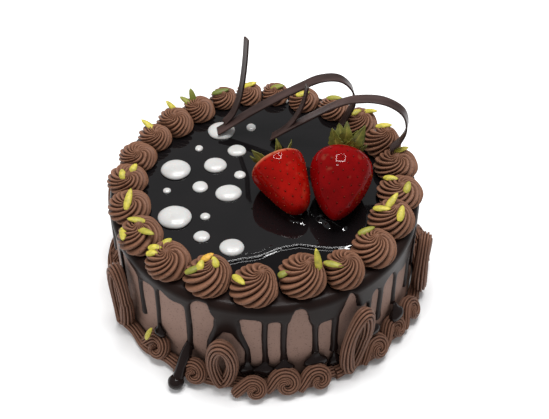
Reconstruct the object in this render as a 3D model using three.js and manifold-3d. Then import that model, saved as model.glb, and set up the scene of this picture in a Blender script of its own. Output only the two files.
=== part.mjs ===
// A round chocolate birthday cake: mocha cream body, dark mirror glaze with drips, a ring of
// piped rosettes with pistachio slivers, a piped border round the foot, white chocolate dots,
// two strawberries and two chocolate ribbon curls. Millimetres, +Z up, the front faces -Y, and
// the origin is the middle of the cake's flat underside.
import * as THREE from "three";
import { mergeVertices } from "three/addons/utils/BufferGeometryUtils.js";
import Module from "manifold-3d";

const wasm = await Module();
wasm.setup();

// ---------------------------------------------------------------------------------------------
// Driving dimensions, mm and degrees
// ---------------------------------------------------------------------------------------------

const CLEARANCE = 0.3; // between two nodes that touch
const COARSENESS = 0.05; // how far a joined solid's surface may move when it is simplified
const CAKE = { radius: 97, height: 69, edgeRound: 4, segments: 56, footTop: 8, footWidth: 1.6 };
const GLAZE = {
  thickness: 1.3,
  bandBottom: 65,
  bandOverlap: 0.6, // how far the drips reach up into the band
  dripSegments: 1,
  dripInset: 0.15,
  dripFlare: 3.2, // how much wider a drip is where it leaves the band, on each side
  hemStep: 6, // degrees of one straight step of a low hem
};
const SEAM = 0.3; // how far two solids that are joined overlap
const GLAZE_INNER = CAKE.radius + CLEARANCE;
const GLAZE_OUTER = GLAZE_INNER + GLAZE.thickness;
const GLAZE_TOP = CAKE.height + CLEARANCE + GLAZE.thickness;
const SEAT = GLAZE_TOP + CLEARANCE; // what lies on the glaze starts here

const ROSETTE = {
  ridges: 12,
  ridgeDepth: 0.075, // of the radius, half of crest to valley
  twist: 115,
  peakLean: 1.4,
  // share of the half width, share of the height
  outline: [
    [0.78, 0],
    [1, 0.28],
    [0.68, 0.8],
  ],
};
// Each rosette from the front anticlockwise: azimuth, distance of its middle from the axis,
// half width, height.
const ROSETTES = [
  [266, 84.5, 14, 15.5],
  [286, 80.5, 14.5, 17],
  [302.5, 86, 12.5, 16.5],
  [320, 85.5, 13.5, 14.5],
  [338, 84, 14, 15.5],
  [355, 85.5, 14, 12.5],
  [11, 86, 13.5, 13.5],
  [26, 85.5, 12, 14.5],
  [42.5, 85, 12, 12.5],
  [57.5, 86.5, 10.5, 10.5],
  [72, 86, 10.5, 11],
  [85.5, 88, 9.5, 10.5],
  [97, 88.5, 9.5, 10.5],
  [108.5, 88, 9.3, 10.5],
  [122, 84.5, 11, 12],
  [136, 83, 12, 13.5],
  [149, 84.5, 11, 12],
  [163, 86, 12, 12],
  [177.5, 87, 12.5, 12.5],
  [193.5, 86, 13, 13],
  [211, 87, 13.5, 15],
  [229, 86.5, 13.5, 15],
  [247, 83.5, 14, 15],
];

// Rosette number, millimetres outward and anticlockwise from its centre, heading of the long
// axis, rise of that axis, length.
const PISTACHIOS = [
  [1, 3, -7, 300, 15, 10],
  [2, 1, -10, 20, 10, 6],
  [3, -6, -9, 100, 62, 11],
  [3, -2, -2, 350, 5, 10],
  [4, -5, 2, 30, 12, 9],
  [5, -2, 5, 50, 25, 11],
  [5, -6, -2, 345, 12, 9],
  [5, 6, -2, 75, 20, 9],
  [6, -6, 6, 340, 12, 8],
  [6, 4, -3, 70, 20, 7],
  [7, 4, 5, 5, 20, 9],
  [8, 5, 6, 350, 15, 9],
  [9, 8, -2, 330, 25, 10],
  [9, 0, 3, 20, 10, 7],
  [10, 3, 1, 340, 15, 9],
  [11, -2, 0, 15, 8, 8],
  [12, 0, -2, 0, 15, 8],
  [13, 2, -1, 5, 20, 8],
  [14, 0, 2, 10, 10, 10],
  [15, 6, 1, 120, 60, 9],
  [15, 7, 5, 150, 18, 9],
  [16, 8, -4, 150, 40, 9],
  [17, 6, -2, 150, 25, 10],
  [19, -4, -4, 60, 15, 6],
  [19, 2, 3, 100, 20, 6],
  [20, 0, 2, 80, 20, 12],
  [21, 0, -5, 175, 8, 9],
  [21, 8, 0, 280, 5, 10],
  [21, 0, 7, 330, 10, 10],
  [22, -6, -7, 30, 15, 6],
  [22, 2, -8, 350, 10, 7],
  [22, 6, -6, 0, 8, 6],
  [23, -6, -3, 30, 15, 7],
  [23, 1, -4, 70, 20, 6],
  [23, 4, -6, 20, 10, 10],
  [23, -4, 3, 110, 20, 6],
];
const PISTACHIO = { width: 2.5, thickness: 1.9, sink: 1.2, tipLift: 0.6 };

// Drips that show: azimuth, height of the lower end, width, height of the funnel above.
const DRIPS = [
  [205, 24, 4.2, 16],
  [219.5, 22, 4, 18],
  [228.4, 16, 3.6, 17],
  [242.2, 16, 4.4, 24],
  [270.3, 16, 3.8, 14],
  [277, 17, 4.2, 14],
  [288.5, 19, 4.2, 22],
  [295.9, 16, 3.8, 18],
  [310.5, 16, 3.8, 16],
  [316.5, 22, 4.6, 20],
  [325.8, 22, 4, 20],
  [337.5, 18, 4.2, 18],
  [345, 26, 3.6, 10],
  [353, 24, 4, 12],
];
// Where the hem between two drips hangs below the band: azimuths, height.
const LOW_HEMS = [
  [219.5, 237.5, 58.5],
  [261, 277, 58.5],
  [286.5, 296.9, 50.3],
  [310.5, 325.8, 55.8],
  [325.8, 337.5, 48],
];
// The rest go round the back by the same kind of spacing.
const BACK_DRIPS = { from: 4, to: 196, spacing: 13.5, wander: 2.6, low: 16, high: 34, width: 4 };
// The wide drip that parts over a tall loop and runs down on both of its sides.
const PARTED_DRIP = {
  azimuth: 257,
  waist: 15.6,
  waistHeight: 57,
  flare: 4.6, // how much wider it is at the band than at the waist, on each side
  bulge: 1.3, // how much wider the waist is at its lower end, on each side
  arch: 39, // height where its sides leave the waist
  crown: 45, // height of the arch between its legs
  shoulder: 28, // height where the legs hang straight
  span: 27.6,
  leg: 3.6,
  ends: [22, 16],
};
// A run of glaze over the border that ends in a drop on the floor: [distance from the axis,
// height] along its middle, then the drop.
const SPILL = {
  azimuth: 241.9,
  radius: 1.9,
  route: [
    [101, 16],
    [105.5, 13],
    [110, 8.5],
    [114, 5],
  ],
  dropRadius: 5.2,
  dropAt: 115.5,
  dropSquash: 0.86,
};

const BORDER = {
  firstAzimuth: 211,
  spacing: 45,
  curlDepth: 5.6,
  curlLean: 28,
  curlRidges: 5,
  // share of the radius on a crest and in a valley
  curlCrest: 1.04,
  curlValley: 0.88,
  // share of the radius, share of the depth, turn
  curlOutline: [
    [1, 0.1, 0],
    [0.66, 0.82, 36],
  ],
  loopWidth: 21.5,
  loopGap: 0.6, // degrees left free before each loop
  footTube: 4.4,
  footSag: 0.4, // how far the straight steps of the foot rope dip towards the wall
  footEnd: 1, // degrees left free at both ends of the foot rope
};
// The kinds of run: height of the tall loop, radius of its rope, its lean at the top, and the
// small swirls that follow it, as degrees after the loop, distance from the axis and radius.
const RUNS = [
  {
    height: 54,
    tube: 4.8,
    lean: -3,
    swirls: [
      [19, 103, 9],
      [35.5, 106, 9],
    ],
  },
  {
    height: 43.5,
    tube: 4.8,
    lean: 0,
    swirls: [
      [11, 109.5, 8.8],
      [21.2, 106.5, 10.4],
      [31.8, 107.5, 10],
    ],
  },
  {
    height: 54.5,
    tube: 4.8,
    lean: 9,
    swirls: [
      [10.5, 105.5, 10.2],
      [21.5, 104.5, 9.8],
      [31.5, 106, 9.8],
    ],
  },
  {
    height: 52,
    tube: 4.8,
    lean: 2,
    swirls: [
      [12, 105, 10.2],
      [22.5, 106, 9.8],
      [33, 105, 10.2],
    ],
  },
  {
    height: 50,
    tube: 3.6,
    lean: 0,
    swirls: [
      [14, 99.5, 8],
      [24.5, 99.5, 8],
      [34.5, 100, 8],
    ],
  },
];
const RUN_ORDER = [0, 1, 2, 3, 0, 1, 2, 4]; // which kind stands at each place round the cake

// Middle, width and depth of each white dot on the glaze.
const DOTS = [
  [-28.9, 53.3, 18.2, 16.4],
  [-9.1, 56.9, 6.4, 7.4],
  [-43.1, 36.6, 5.2, 5.6],
  [-18.2, 34.2, 12.2, 10.6],
  [-57.2, 16.2, 19.2, 17.6],
  [-31.9, 20.5, 14.8, 13.3],
  [-15.8, 11.7, 7.4, 7],
  [-40.8, 0.9, 9.8, 9.8],
  [-61.7, -2.4, 5.1, 4.7],
  [-22.7, -4.9, 16.9, 14.1],
  [-55.4, -25.9, 21, 19],
  [-36.6, -24.8, 6.3, 5.8],
  [-38.1, -41.7, 10.1, 9.1],
  [-19.4, -50.8, 15.2, 13.5],
];
const DOT = { heightOfWidth: 0.13, leastHeight: 0.6, edge: 0.78, edgeRise: 0.7, segments: 8 };

// The leaves of each berry: angle in the fan, where 0 is to the side and 90 is up, length,
// width, and how far the leaf leans away from the berry as a share of its length.
const STRAWBERRIES = {
  strawberry_left: {
    centre: [14.6, -12.8],
    width: 34.2,
    length: 38,
    heading: 296,
    fullness: 0.4,
    shoulder: 0.3,
    leaves: [
      [25, 16, 5, 0.4],
      [66, 13, 5.5, 0.4],
      [145, 16, 6, 0.4],
      [174, 13, 6, 0.4],
    ],
  },
  strawberry_right: {
    centre: [46, -15],
    width: 38.6,
    length: 48.6,
    heading: 261,
    fullness: 0.74,
    shoulder: 0.6,
    leaves: [
      [-5, 14, 8, 0.5],
      [30, 15, 8, 0.4],
      [54, 20, 7.5, 0.5],
      [68, 14, 8, 0.4],
      [84, 18.5, 8.5, 0.5],
      [100, 16, 8.5, 0.5],
      [128, 15.5, 9, 0.4],
    ],
  },
};
const BERRY = { sides: 16, rings: 8, tilt: 14 }; // the tip points down by the tilt
const CALYX = {
  hubRadius: 3.2,
  hubHeight: 2.6,
  hubGap: 1.4, // from the berry to the middle of the hub
  leafRoot: 2.2,
  stagger: 0.8, // every other leaf starts this far behind or before the hub's middle
  leafThickness: 0.8,
  fold: 0.3,
  // share of the length, share of the width, lift as a share of the length
  leafOutline: [
    [0, 0.3, 0],
    [0.4, 1, 0.08],
    [0.72, 0.8, 0.02],
    [1, 0.12, -0.12],
  ],
};

// The ribbon curls: each arch and the upright strip that joins its foot, as points along the
// middle of the ribbon, and the way the ribbon's width points.
const RIBBON = { width: 6, thickness: 1.2, archSteps: 18, stripSteps: 8 };
const CURLS = {
  curl_back: {
    arch: [
      [-31.2, 49.5, 74],
      [-3, 54.5, 91.5],
      [23, 55.5, 107.5],
      [36, 56, 113.9],
      [48, 56.4, 113.9],
      [56.2, 56.5, 106],
      [58.4, 56, 95],
      [54.5, 54.5, 84.5],
      [49, 52.5, 73.5],
    ],
    strip: [
      [-27, 53.8, 78],
      [-21, 55.2, 85.5],
      [-17, 56.6, 96],
      [-14.2, 57.6, 110],
      [-12.2, 58.4, 127],
      [-11, 59, 144],
    ],
    across: [-0.12, 1, 0],
    stripAcross: [-0.55, 0.84, 0],
  },
  curl_front: {
    arch: [
      [4.5, 45.4, 73],
      [22, 40.5, 90],
      [47, 33.5, 112.5],
      [62, 30, 119.2],
      [75.6, 28, 118.8],
      [86.8, 26.5, 111.6],
      [90, 25, 100.5],
      [87, 23.5, 91],
      [80.5, 21.5, 84.8],
    ],
    strip: [
      [8.5, 44.2, 77],
      [15, 43.6, 84],
      [20.5, 43.8, 92.5],
      [25, 44.3, 104],
      [27.4, 45, 117.5],
    ],
    across: [0.2, 1, 0],
    stripAcross: [-0.2, 1, 0],
  },
};

const FINISH = {
  cream: { color: 0x8a6452, roughness: 0.62, metalness: 0 },
  glaze: { color: 0x1c1614, roughness: 0.08, metalness: 0 },
  piped: { color: 0x7a5240, roughness: 0.6, metalness: 0 },
  white: { color: 0xf2efe9, roughness: 0.3, metalness: 0 },
  berry: { color: 0xb80f12, roughness: 0.12, metalness: 0 },
  leaf: { color: 0x5f7a35, roughness: 0.55, metalness: 0 },
  chocolate: { color: 0x2e1d18, roughness: 0.35, metalness: 0 },
};

// ---------------------------------------------------------------------------------------------
// Helpers
// ---------------------------------------------------------------------------------------------

const rad = THREE.MathUtils.degToRad;
const vec = (x, y, z) => new THREE.Vector3(x, y, z);

/** Point at a radius, an azimuth in degrees (anticlockwise from +X) and a height. */
function polar(radius, azimuth, z) {
  return vec(radius * Math.cos(rad(azimuth)), radius * Math.sin(rad(azimuth)), z);
}

/** Closed surface from a start point, through rings of equal count, to an end point. */
function skin(start, rings, end) {
  const count = rings[0].length;
  const points = [start, ...rings.flat(), end];
  const last = points.length - 1;
  const faces = [];
  const at = (ring, i) => 1 + ring * count + (i % count);
  for (let i = 0; i < count; i++) {
    faces.push(0, at(0, i + 1), at(0, i));
    for (let ring = 0; ring + 1 < rings.length; ring++) {
      faces.push(at(ring, i), at(ring, i + 1), at(ring + 1, i + 1));
      faces.push(at(ring, i), at(ring + 1, i + 1), at(ring + 1, i));
    }
    faces.push(at(rings.length - 1, i), at(rings.length - 1, i + 1), last);
  }
  return new THREE.BufferGeometry().setFromPoints(points).setIndex(faces);
}

/** A geometry as a solid that can be joined and cut. */
function toSolid(geometry) {
  const bare = new THREE.BufferGeometry();
  bare.setAttribute("position", geometry.getAttribute("position"));
  if (geometry.index) bare.setIndex(geometry.index);
  const merged = mergeVertices(bare, 1e-3);
  return new wasm.Manifold(
    new wasm.Mesh({
      numProp: 3,
      vertProperties: new Float32Array(merged.getAttribute("position").array),
      triVerts: new Uint32Array(merged.index.array),
    }),
  );
}

/** The solid's surface as a flat-shaded three.js geometry, without needless triangles. */
function toGeometry(solid) {
  const mesh = solid.simplify(COARSENESS).getMesh();
  const positions = [];
  for (let i = 0; i < mesh.numVert; i++) {
    positions.push(...mesh.vertProperties.subarray(i * mesh.numProp, i * mesh.numProp + 3));
  }
  const geometry = new THREE.BufferGeometry();
  geometry.setAttribute("position", new THREE.Float32BufferAttribute(positions, 3));
  geometry.setIndex([...mesh.triVerts]);
  return geometry.toNonIndexed();
}

/** A named mesh with one of the finishes. */
function piece(name, geometry, finish) {
  geometry.computeVertexNormals();
  const mesh = new THREE.Mesh(geometry, new THREE.MeshStandardMaterial(FINISH[finish]));
  mesh.name = name;
  return mesh;
}

/** Moves a point into the wedge between two azimuths, keeping its distance from the axis. */
function intoWedge(point, from, to) {
  const radius = Math.hypot(point.x, point.y);
  const middle = (from + to) / 2;
  const azimuth = THREE.MathUtils.radToDeg(Math.atan2(point.y, point.x));
  const offMiddle = THREE.MathUtils.euclideanModulo(azimuth - middle + 180, 360) - 180;
  const half = (to - from) / 2 - THREE.MathUtils.radToDeg(CLEARANCE / 2 / radius);
  const kept = THREE.MathUtils.clamp(offMiddle, -half, half);
  return polar(radius, middle + kept, point.z);
}

/** Ring of points round a centre in the plane of two directions. */
function ringAround(centre, u, v, count, radiusAt) {
  return Array.from({ length: count }, (_, i) => {
    const angle = (2 * Math.PI * i) / count;
    const radius = radiusAt(angle, i);
    return centre
      .clone()
      .addScaledVector(u, radius * Math.cos(angle))
      .addScaledVector(v, radius * Math.sin(angle));
  });
}

// ---------------------------------------------------------------------------------------------
// Cake and glaze
// ---------------------------------------------------------------------------------------------

/** Profile from the top of the axis out over a rounded edge, as [radius, height] points. */
function roundedTop(radius, top, edgeRound, steps) {
  const points = [new THREE.Vector2(0, top)];
  for (let i = 0; i <= steps; i++) {
    const angle = (Math.PI / 2) * (1 - i / steps);
    const x = radius - edgeRound + edgeRound * Math.cos(angle);
    points.push(new THREE.Vector2(x, top - edgeRound + edgeRound * Math.sin(angle)));
  }
  return points;
}

/** A profile of [radius, height] points, listed anticlockwise, turned about the Z axis. */
function turned(profile) {
  return new THREE.LatheGeometry(profile, CAKE.segments).rotateX(Math.PI / 2);
}

/** The cream-coated cake, a little wider at the foot, where the border sits against it. */
function cakeBody() {
  const { radius, height, edgeRound, footTop, footWidth } = CAKE;
  const profile = roundedTop(radius, height, edgeRound, 1);
  profile.push(new THREE.Vector2(radius, footTop + 2 * footWidth));
  profile.push(new THREE.Vector2(radius + footWidth, footTop));
  profile.push(new THREE.Vector2(radius + footWidth, 0));
  profile.push(new THREE.Vector2(0, 0));
  return piece("cake", turned(profile.reverse()), "cream");
}

/** A flat outline (millimetres along the wall, height) bent round the wall as a slab. */
function onWall(shape, azimuth) {
  const depth = GLAZE.thickness - 2 * GLAZE.dripInset;
  const options = { depth, bevelEnabled: false, curveSegments: GLAZE.dripSegments };
  const slab = new THREE.ExtrudeGeometry(shape, options);
  const position = slab.getAttribute("position");
  for (let i = 0; i < position.count; i++) {
    const along = THREE.MathUtils.radToDeg(position.getX(i) / CAKE.radius);
    const radius = GLAZE_INNER + GLAZE.dripInset / 2 + position.getZ(i);
    const bent = polar(radius, azimuth + along, position.getY(i));
    position.setXYZ(i, bent.x, bent.y, bent.z);
  }
  return toSolid(slab);
}

/** One drip: a funnel below the band, a straight run and a round end. */
function drip([azimuth, end, width, funnel]) {
  const half = width / 2;
  const root = GLAZE.bandBottom + GLAZE.bandOverlap;
  const flared = half + GLAZE.dripFlare;
  const shape = new THREE.Shape();
  shape.moveTo(-flared, root);
  shape.quadraticCurveTo(-half, root - funnel / 3, -half, root - funnel);
  shape.lineTo(-half, end + half);
  shape.quadraticCurveTo(-half, end, 0, end);
  shape.quadraticCurveTo(half, end, half, end + half);
  shape.lineTo(half, root - funnel);
  shape.quadraticCurveTo(half, root - funnel / 3, flared, root);
  return onWall(shape, azimuth);
}

/** A stretch of the hem that hangs lower, in steps short enough to follow the wall. */
function lowHem([from, to, bottom]) {
  const steps = Math.ceil((to - from) / GLAZE.hemStep);
  const half = (rad(to - from) * CAKE.radius) / steps / 2 + SEAM / 2;
  const root = GLAZE.bandBottom + GLAZE.bandOverlap;
  return Array.from({ length: steps }, (_, i) => {
    const shape = new THREE.Shape();
    shape.moveTo(-half, bottom);
    shape.lineTo(half, bottom);
    shape.lineTo(half, root);
    shape.lineTo(-half, root);
    return onWall(shape, from + ((to - from) * (i + 0.5)) / steps);
  });
}

/** One side of the drip that parts: half a waist, then a leg round half an arch. */
function partedSide(side) {
  const { azimuth, waist, waistHeight, flare, bulge, arch } = PARTED_DRIP;
  const { crown, shoulder, span, leg, ends } = PARTED_DRIP;
  const half = waist / 2;
  const out = span / 2;
  const root = GLAZE.bandBottom + GLAZE.bandOverlap;
  const end = side < 0 ? ends[0] : ends[1];
  const shape = new THREE.Shape();
  shape.moveTo(-side * SEAM, crown);
  shape.quadraticCurveTo(side * (out - leg), crown, side * (out - leg), shoulder);
  shape.lineTo(side * (out - leg), end);
  shape.lineTo(side * out, end);
  shape.lineTo(side * out, shoulder);
  shape.quadraticCurveTo(side * out, arch, side * (half + bulge), arch);
  shape.lineTo(side * half, waistHeight);
  shape.lineTo(side * (half + flare), root);
  shape.lineTo(-side * SEAM, root);
  return onWall(shape, azimuth);
}

/** The drips round the back, spaced and hung unevenly by two waves. */
function backDrips() {
  const { from, to, spacing, wander, low, high, width } = BACK_DRIPS;
  const drips = [];
  for (let azimuth = from, n = 0; azimuth < to; azimuth += spacing, n++) {
    const end = low + (high - low) * (0.5 + 0.5 * Math.sin(2.4 * n));
    drips.push([azimuth + wander * Math.sin(1.7 * n), end, width, 9 + 4 * Math.sin(3.1 * n)]);
  }
  return drips;
}

/** The stream that runs over the border to a drop on the floor, grown to serve as a cutter. */
function spill(grow) {
  const { azimuth, dropRadius, dropAt, dropSquash } = SPILL;
  const route = SPILL.route.map(([radius, z]) => polar(radius, azimuth, z));
  const side = polar(1, azimuth + 90, 0);
  const rings = route.map((centre, i) => {
    const ahead = route[Math.min(i + 1, route.length - 1)];
    const behind = route[Math.max(i - 1, 0)];
    const along = ahead.clone().sub(behind).normalize();
    return ringAround(centre, side, along.cross(side), 6, () => SPILL.radius + grow);
  });
  const stream = toSolid(skin(route[0], rings, route.at(-1)));
  const drop = new THREE.IcosahedronGeometry(dropRadius + grow, 1);
  const middle = polar(dropAt, azimuth, dropRadius * dropSquash);
  drop.scale(1, 1, dropSquash).translate(middle.x, middle.y, middle.z);
  return stream.add(toSolid(drop));
}

function glaze() {
  const { edgeRound, height } = CAKE;
  const outer = roundedTop(GLAZE_OUTER, GLAZE_TOP, edgeRound + GLAZE.thickness, 2);
  const inner = roundedTop(GLAZE_INNER, height + CLEARANCE, edgeRound, 1);
  outer.push(new THREE.Vector2(GLAZE_OUTER, GLAZE.bandBottom));
  inner.push(new THREE.Vector2(GLAZE_INNER, GLAZE.bandBottom));
  const cap = toSolid(turned([...inner, ...outer.reverse()]));
  const drips = [...DRIPS, ...backDrips()].map(drip);
  const hems = LOW_HEMS.flatMap(lowHem);
  const whole = wasm.Manifold.union([cap, ...drips, ...hems, partedSide(-1), partedSide(1)]);
  return piece("glaze", toGeometry(whole), "glaze");
}

// ---------------------------------------------------------------------------------------------
// Rosettes and pistachios
// ---------------------------------------------------------------------------------------------

/** Where rosette number i sits, its sizes and the wedge that its neighbours leave it. */
function rosettePlace(i) {
  const [azimuth, distance, halfWidth, height] = ROSETTES[i];
  const [before, , halfBefore] = ROSETTES.at(i - 1);
  const [after, , halfAfter] = ROSETTES[(i + 1) % ROSETTES.length];
  const back = THREE.MathUtils.euclideanModulo(azimuth - before, 360);
  const ahead = THREE.MathUtils.euclideanModulo(after - azimuth, 360);
  const from = azimuth - (back * halfWidth) / (halfWidth + halfBefore);
  const to = azimuth + (ahead * halfWidth) / (halfWidth + halfAfter);
  return { azimuth, distance, halfWidth, height, from, to };
}

/** A piped star swirl: ridges that wind clockwise on their way out from the peak. */
function rosetteSolid(place) {
  const { azimuth, distance, halfWidth, height, from, to } = place;
  const columns = 2 * ROSETTE.ridges;
  const centre = polar(distance, azimuth, SEAT);
  const rings = ROSETTE.outline.map(([share, rise]) => {
    const u = polar(1, azimuth - ROSETTE.twist * share, 0);
    const v = vec(-u.y, u.x, 0);
    const middle = centre.clone().add(vec(0, 0, rise * height));
    const ring = ringAround(middle, u, v, columns, (_, i) => {
      const ridge = i % 2 ? -ROSETTE.ridgeDepth : ROSETTE.ridgeDepth;
      return halfWidth * (share + ridge);
    });
    return ring.map((point) => intoWedge(point, from, to));
  });
  const peak = centre.clone().add(polar(ROSETTE.peakLean, azimuth + 200, height));
  return toSolid(skin(centre, rings, peak));
}

/** Height of a rosette's surface, as a share of its height, at a share of its half width. */
function rosetteRise(share) {
  const [, [wide, low], [narrow, high]] = ROSETTE.outline;
  if (share < narrow) return THREE.MathUtils.mapLinear(share, 0, narrow, 1, high);
  return THREE.MathUtils.mapLinear(Math.min(share, wide), narrow, wide, high, low);
}

/** One sliver of pistachio, sunk a little into the rosette that carries it. */
function pistachioSolid([, out, along, heading, rise, length], place) {
  const lift = place.height * rosetteRise(Math.hypot(out, along) / place.halfWidth);
  const sliver = new THREE.OctahedronGeometry(1);
  sliver.scale(length / 2, PISTACHIO.width / 2, PISTACHIO.thickness / 2);
  sliver.rotateY(-rad(rise)).rotateZ(rad(heading));
  const tipRise = (length / 2) * Math.sin(rad(rise)) * PISTACHIO.tipLift;
  const spin = THREE.MathUtils.radToDeg(along / place.distance);
  const at = polar(place.distance + out, place.azimuth + spin, SEAT + lift + tipRise);
  sliver.translate(at.x, at.y, at.z - PISTACHIO.sink);
  return toSolid(sliver);
}

function rosettes() {
  return Array.from({ length: ROSETTES.length }, (_, i) => {
    const place = rosettePlace(i);
    const slivers = PISTACHIOS.filter(([number]) => number === i + 1);
    const solids = slivers.map((row) => pistachioSolid(row, place));
    const whole = wasm.Manifold.union([rosetteSolid(place), ...solids]);
    const name = `rosette_${String(i + 1).padStart(2, "0")}`;
    return piece(name, toGeometry(whole), "piped");
  });
}

// ---------------------------------------------------------------------------------------------
// Border round the foot
// ---------------------------------------------------------------------------------------------

/** Keeps a point of the border off the wall, above the floor and in its own stretch. */
function inBorder(point, [from, to]) {
  const radius = Math.max(Math.hypot(point.x, point.y), GLAZE_OUTER + CLEARANCE);
  const azimuth = THREE.MathUtils.radToDeg(Math.atan2(point.y, point.x));
  return intoWedge(polar(radius, azimuth, Math.max(point.z, 0)), from, to);
}

/** Closed surface through rings of equal count that come back to the first one. */
function skinRound(rings) {
  const count = rings[0].length;
  const faces = [];
  const at = (ring, i) => (ring % rings.length) * count + (i % count);
  for (let ring = 0; ring < rings.length; ring++) {
    for (let i = 0; i < count; i++) {
      faces.push(at(ring, i), at(ring, i + 1), at(ring + 1, i + 1));
      faces.push(at(ring, i), at(ring + 1, i + 1), at(ring + 1, i));
    }
  }
  return new THREE.BufferGeometry().setFromPoints(rings.flat()).setIndex(faces);
}

/** A tall piped loop that stands against the wall, its foot at the given azimuth. */
function loopSolid(azimuth, { height, tube, lean }, stretch) {
  const steps = 10;
  const halfWidth = BORDER.loopWidth / 2 - tube;
  const halfHeight = height / 2 - tube;
  const rings = Array.from({ length: steps }, (_, i) => {
    const turn = (2 * Math.PI * i) / steps;
    const z = height / 2 + halfHeight * Math.sin(turn);
    const along = halfWidth * Math.cos(turn) + Math.sin(rad(lean)) * z;
    const spin = THREE.MathUtils.radToDeg(along / CAKE.radius);
    const centre = polar(GLAZE_OUTER + CLEARANCE + tube, azimuth + spin, z);
    const out = polar(1, azimuth + spin, 0);
    const away = polar(Math.cos(turn) * halfHeight, azimuth + spin + 90, Math.sin(turn) * halfWidth);
    const ring = ringAround(centre, out, away.normalize(), 5, () => tube);
    return ring.map((point) => inBorder(point, stretch));
  });
  return toSolid(skinRound(rings));
}

/** A small piped swirl that leans back and stands on the floor. */
function swirlSolid(azimuth, distance, radius, stretch) {
  const { curlDepth, curlLean, curlRidges, curlCrest, curlValley, curlOutline } = BORDER;
  const lean = rad(curlLean);
  const out = polar(Math.cos(lean), azimuth, Math.sin(lean));
  const u = polar(1, azimuth + 90, 0);
  const v = out.clone().cross(u);
  const centre = polar(distance, azimuth, radius * Math.cos(lean));
  const rings = curlOutline.map(([share, rise, turn]) => {
    const middle = centre.clone().addScaledVector(out, rise * curlDepth);
    const a = u.clone().applyAxisAngle(out, rad(turn));
    const b = v.clone().applyAxisAngle(out, rad(turn));
    const ring = ringAround(middle, a, b, 2 * curlRidges, (_, i) => {
      return radius * share * (i % 2 ? curlValley : curlCrest);
    });
    return ring.map((point) => inBorder(point, stretch));
  });
  const back = inBorder(centre.clone().addScaledVector(out, -curlDepth), stretch);
  const front = centre.clone().addScaledVector(out, curlDepth);
  return toSolid(skin(back, rings, front));
}

/** The rope that runs along the foot and ties a run together. */
function footRope(stretch) {
  const { footTube, footSag, footEnd } = BORDER;
  const [from, to] = [stretch[0] + footEnd, stretch[1] - footEnd];
  const steps = 4;
  const radius = GLAZE_OUTER + CLEARANCE + footTube + footSag;
  const rings = Array.from({ length: steps + 1 }, (_, i) => {
    const azimuth = from + ((to - from) * i) / steps;
    const centre = polar(radius, azimuth, footTube);
    const ring = ringAround(centre, vec(0, 0, 1), polar(1, azimuth, 0), 4, () => footTube);
    return ring.map((point) => inBorder(point, stretch));
  });
  const start = polar(radius, from, footTube);
  return toSolid(skin(start, rings, polar(radius, to, footTube)));
}

/** One run of the border: a tall loop, the swirls that follow it and the rope at the foot. */
function borderRuns() {
  const cutter = spill(CLEARANCE);
  const loopHalf = THREE.MathUtils.radToDeg(BORDER.loopWidth / 2 / CAKE.radius) + BORDER.loopGap;
  return RUN_ORDER.map((kind, i) => {
    const azimuth = BORDER.firstAzimuth + i * BORDER.spacing;
    const stretch = [azimuth - loopHalf, azimuth - loopHalf + BORDER.spacing];
    const run = RUNS[kind];
    const swirls = run.swirls.map(([offset, distance, radius]) =>
      swirlSolid(azimuth + offset, distance, radius, stretch),
    );
    const parts = [loopSolid(azimuth, run, stretch), footRope(stretch), ...swirls];
    const whole = wasm.Manifold.union(parts).subtract(cutter);
    return piece(`border_${i + 1}`, toGeometry(whole), "piped");
  });
}

// ---------------------------------------------------------------------------------------------
// Things on top
// ---------------------------------------------------------------------------------------------

/** Low domes of white chocolate on the glaze. */
function dots() {
  return DOTS.map(([x, y, width, depth], i) => {
    const height = width * DOT.heightOfWidth + DOT.leastHeight;
    const rows = [
      [1, 0],
      [DOT.edge, DOT.edgeRise],
    ];
    const rings = rows.map(([share, rise]) => {
      const middle = vec(x, y, SEAT + rise * height);
      return ringAround(middle, vec(width / 2, 0, 0), vec(0, depth / 2, 0), DOT.segments, () => share);
    });
    const dome = skin(vec(x, y, SEAT), rings, vec(x, y, SEAT + height));
    return piece(`dot_${String(i + 1).padStart(2, "0")}`, dome, "white");
  });
}

/** The rings of a berry: share of the length, closer together at both ends, and radius. */
function berryRings({ width, fullness, shoulder }) {
  return Array.from({ length: BERRY.rings - 1 }, (_, i) => {
    const share = (1 - Math.cos((Math.PI * (i + 1)) / BERRY.rings)) / 2;
    const girth = Math.sin(Math.PI * share ** shoulder) ** fullness;
    return [share, (girth * width) / 2];
  });
}

/** Directions and middle of a berry that lies on the glaze with its tip tilted down. */
function berryFrame(size) {
  const axis = polar(Math.cos(rad(BERRY.tilt)), size.heading, -Math.sin(rad(BERRY.tilt)));
  const side = polar(1, size.heading + 90, 0);
  const up = axis.clone().cross(side);
  const depths = berryRings(size).map(([share, radius]) => {
    return radius * up.z - (share - 0.5) * size.length * axis.z;
  });
  const middle = vec(...size.centre, SEAT + Math.max(...depths));
  return { axis, side, up, middle };
}

/** A whole strawberry, from its shoulder at the calyx to its blunt tip. */
function strawberry(name, size) {
  const { axis, side, up, middle } = berryFrame(size);
  const start = middle.clone().addScaledVector(axis, -size.length / 2);
  const rings = berryRings(size).map(([share, radius]) => {
    const at = start.clone().addScaledVector(axis, share * size.length);
    return ringAround(at, side, up, BERRY.sides, () => radius);
  });
  const end = middle.clone().addScaledVector(axis, size.length / 2);
  return piece(name, skin(start, rings, end), "berry");
}

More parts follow.
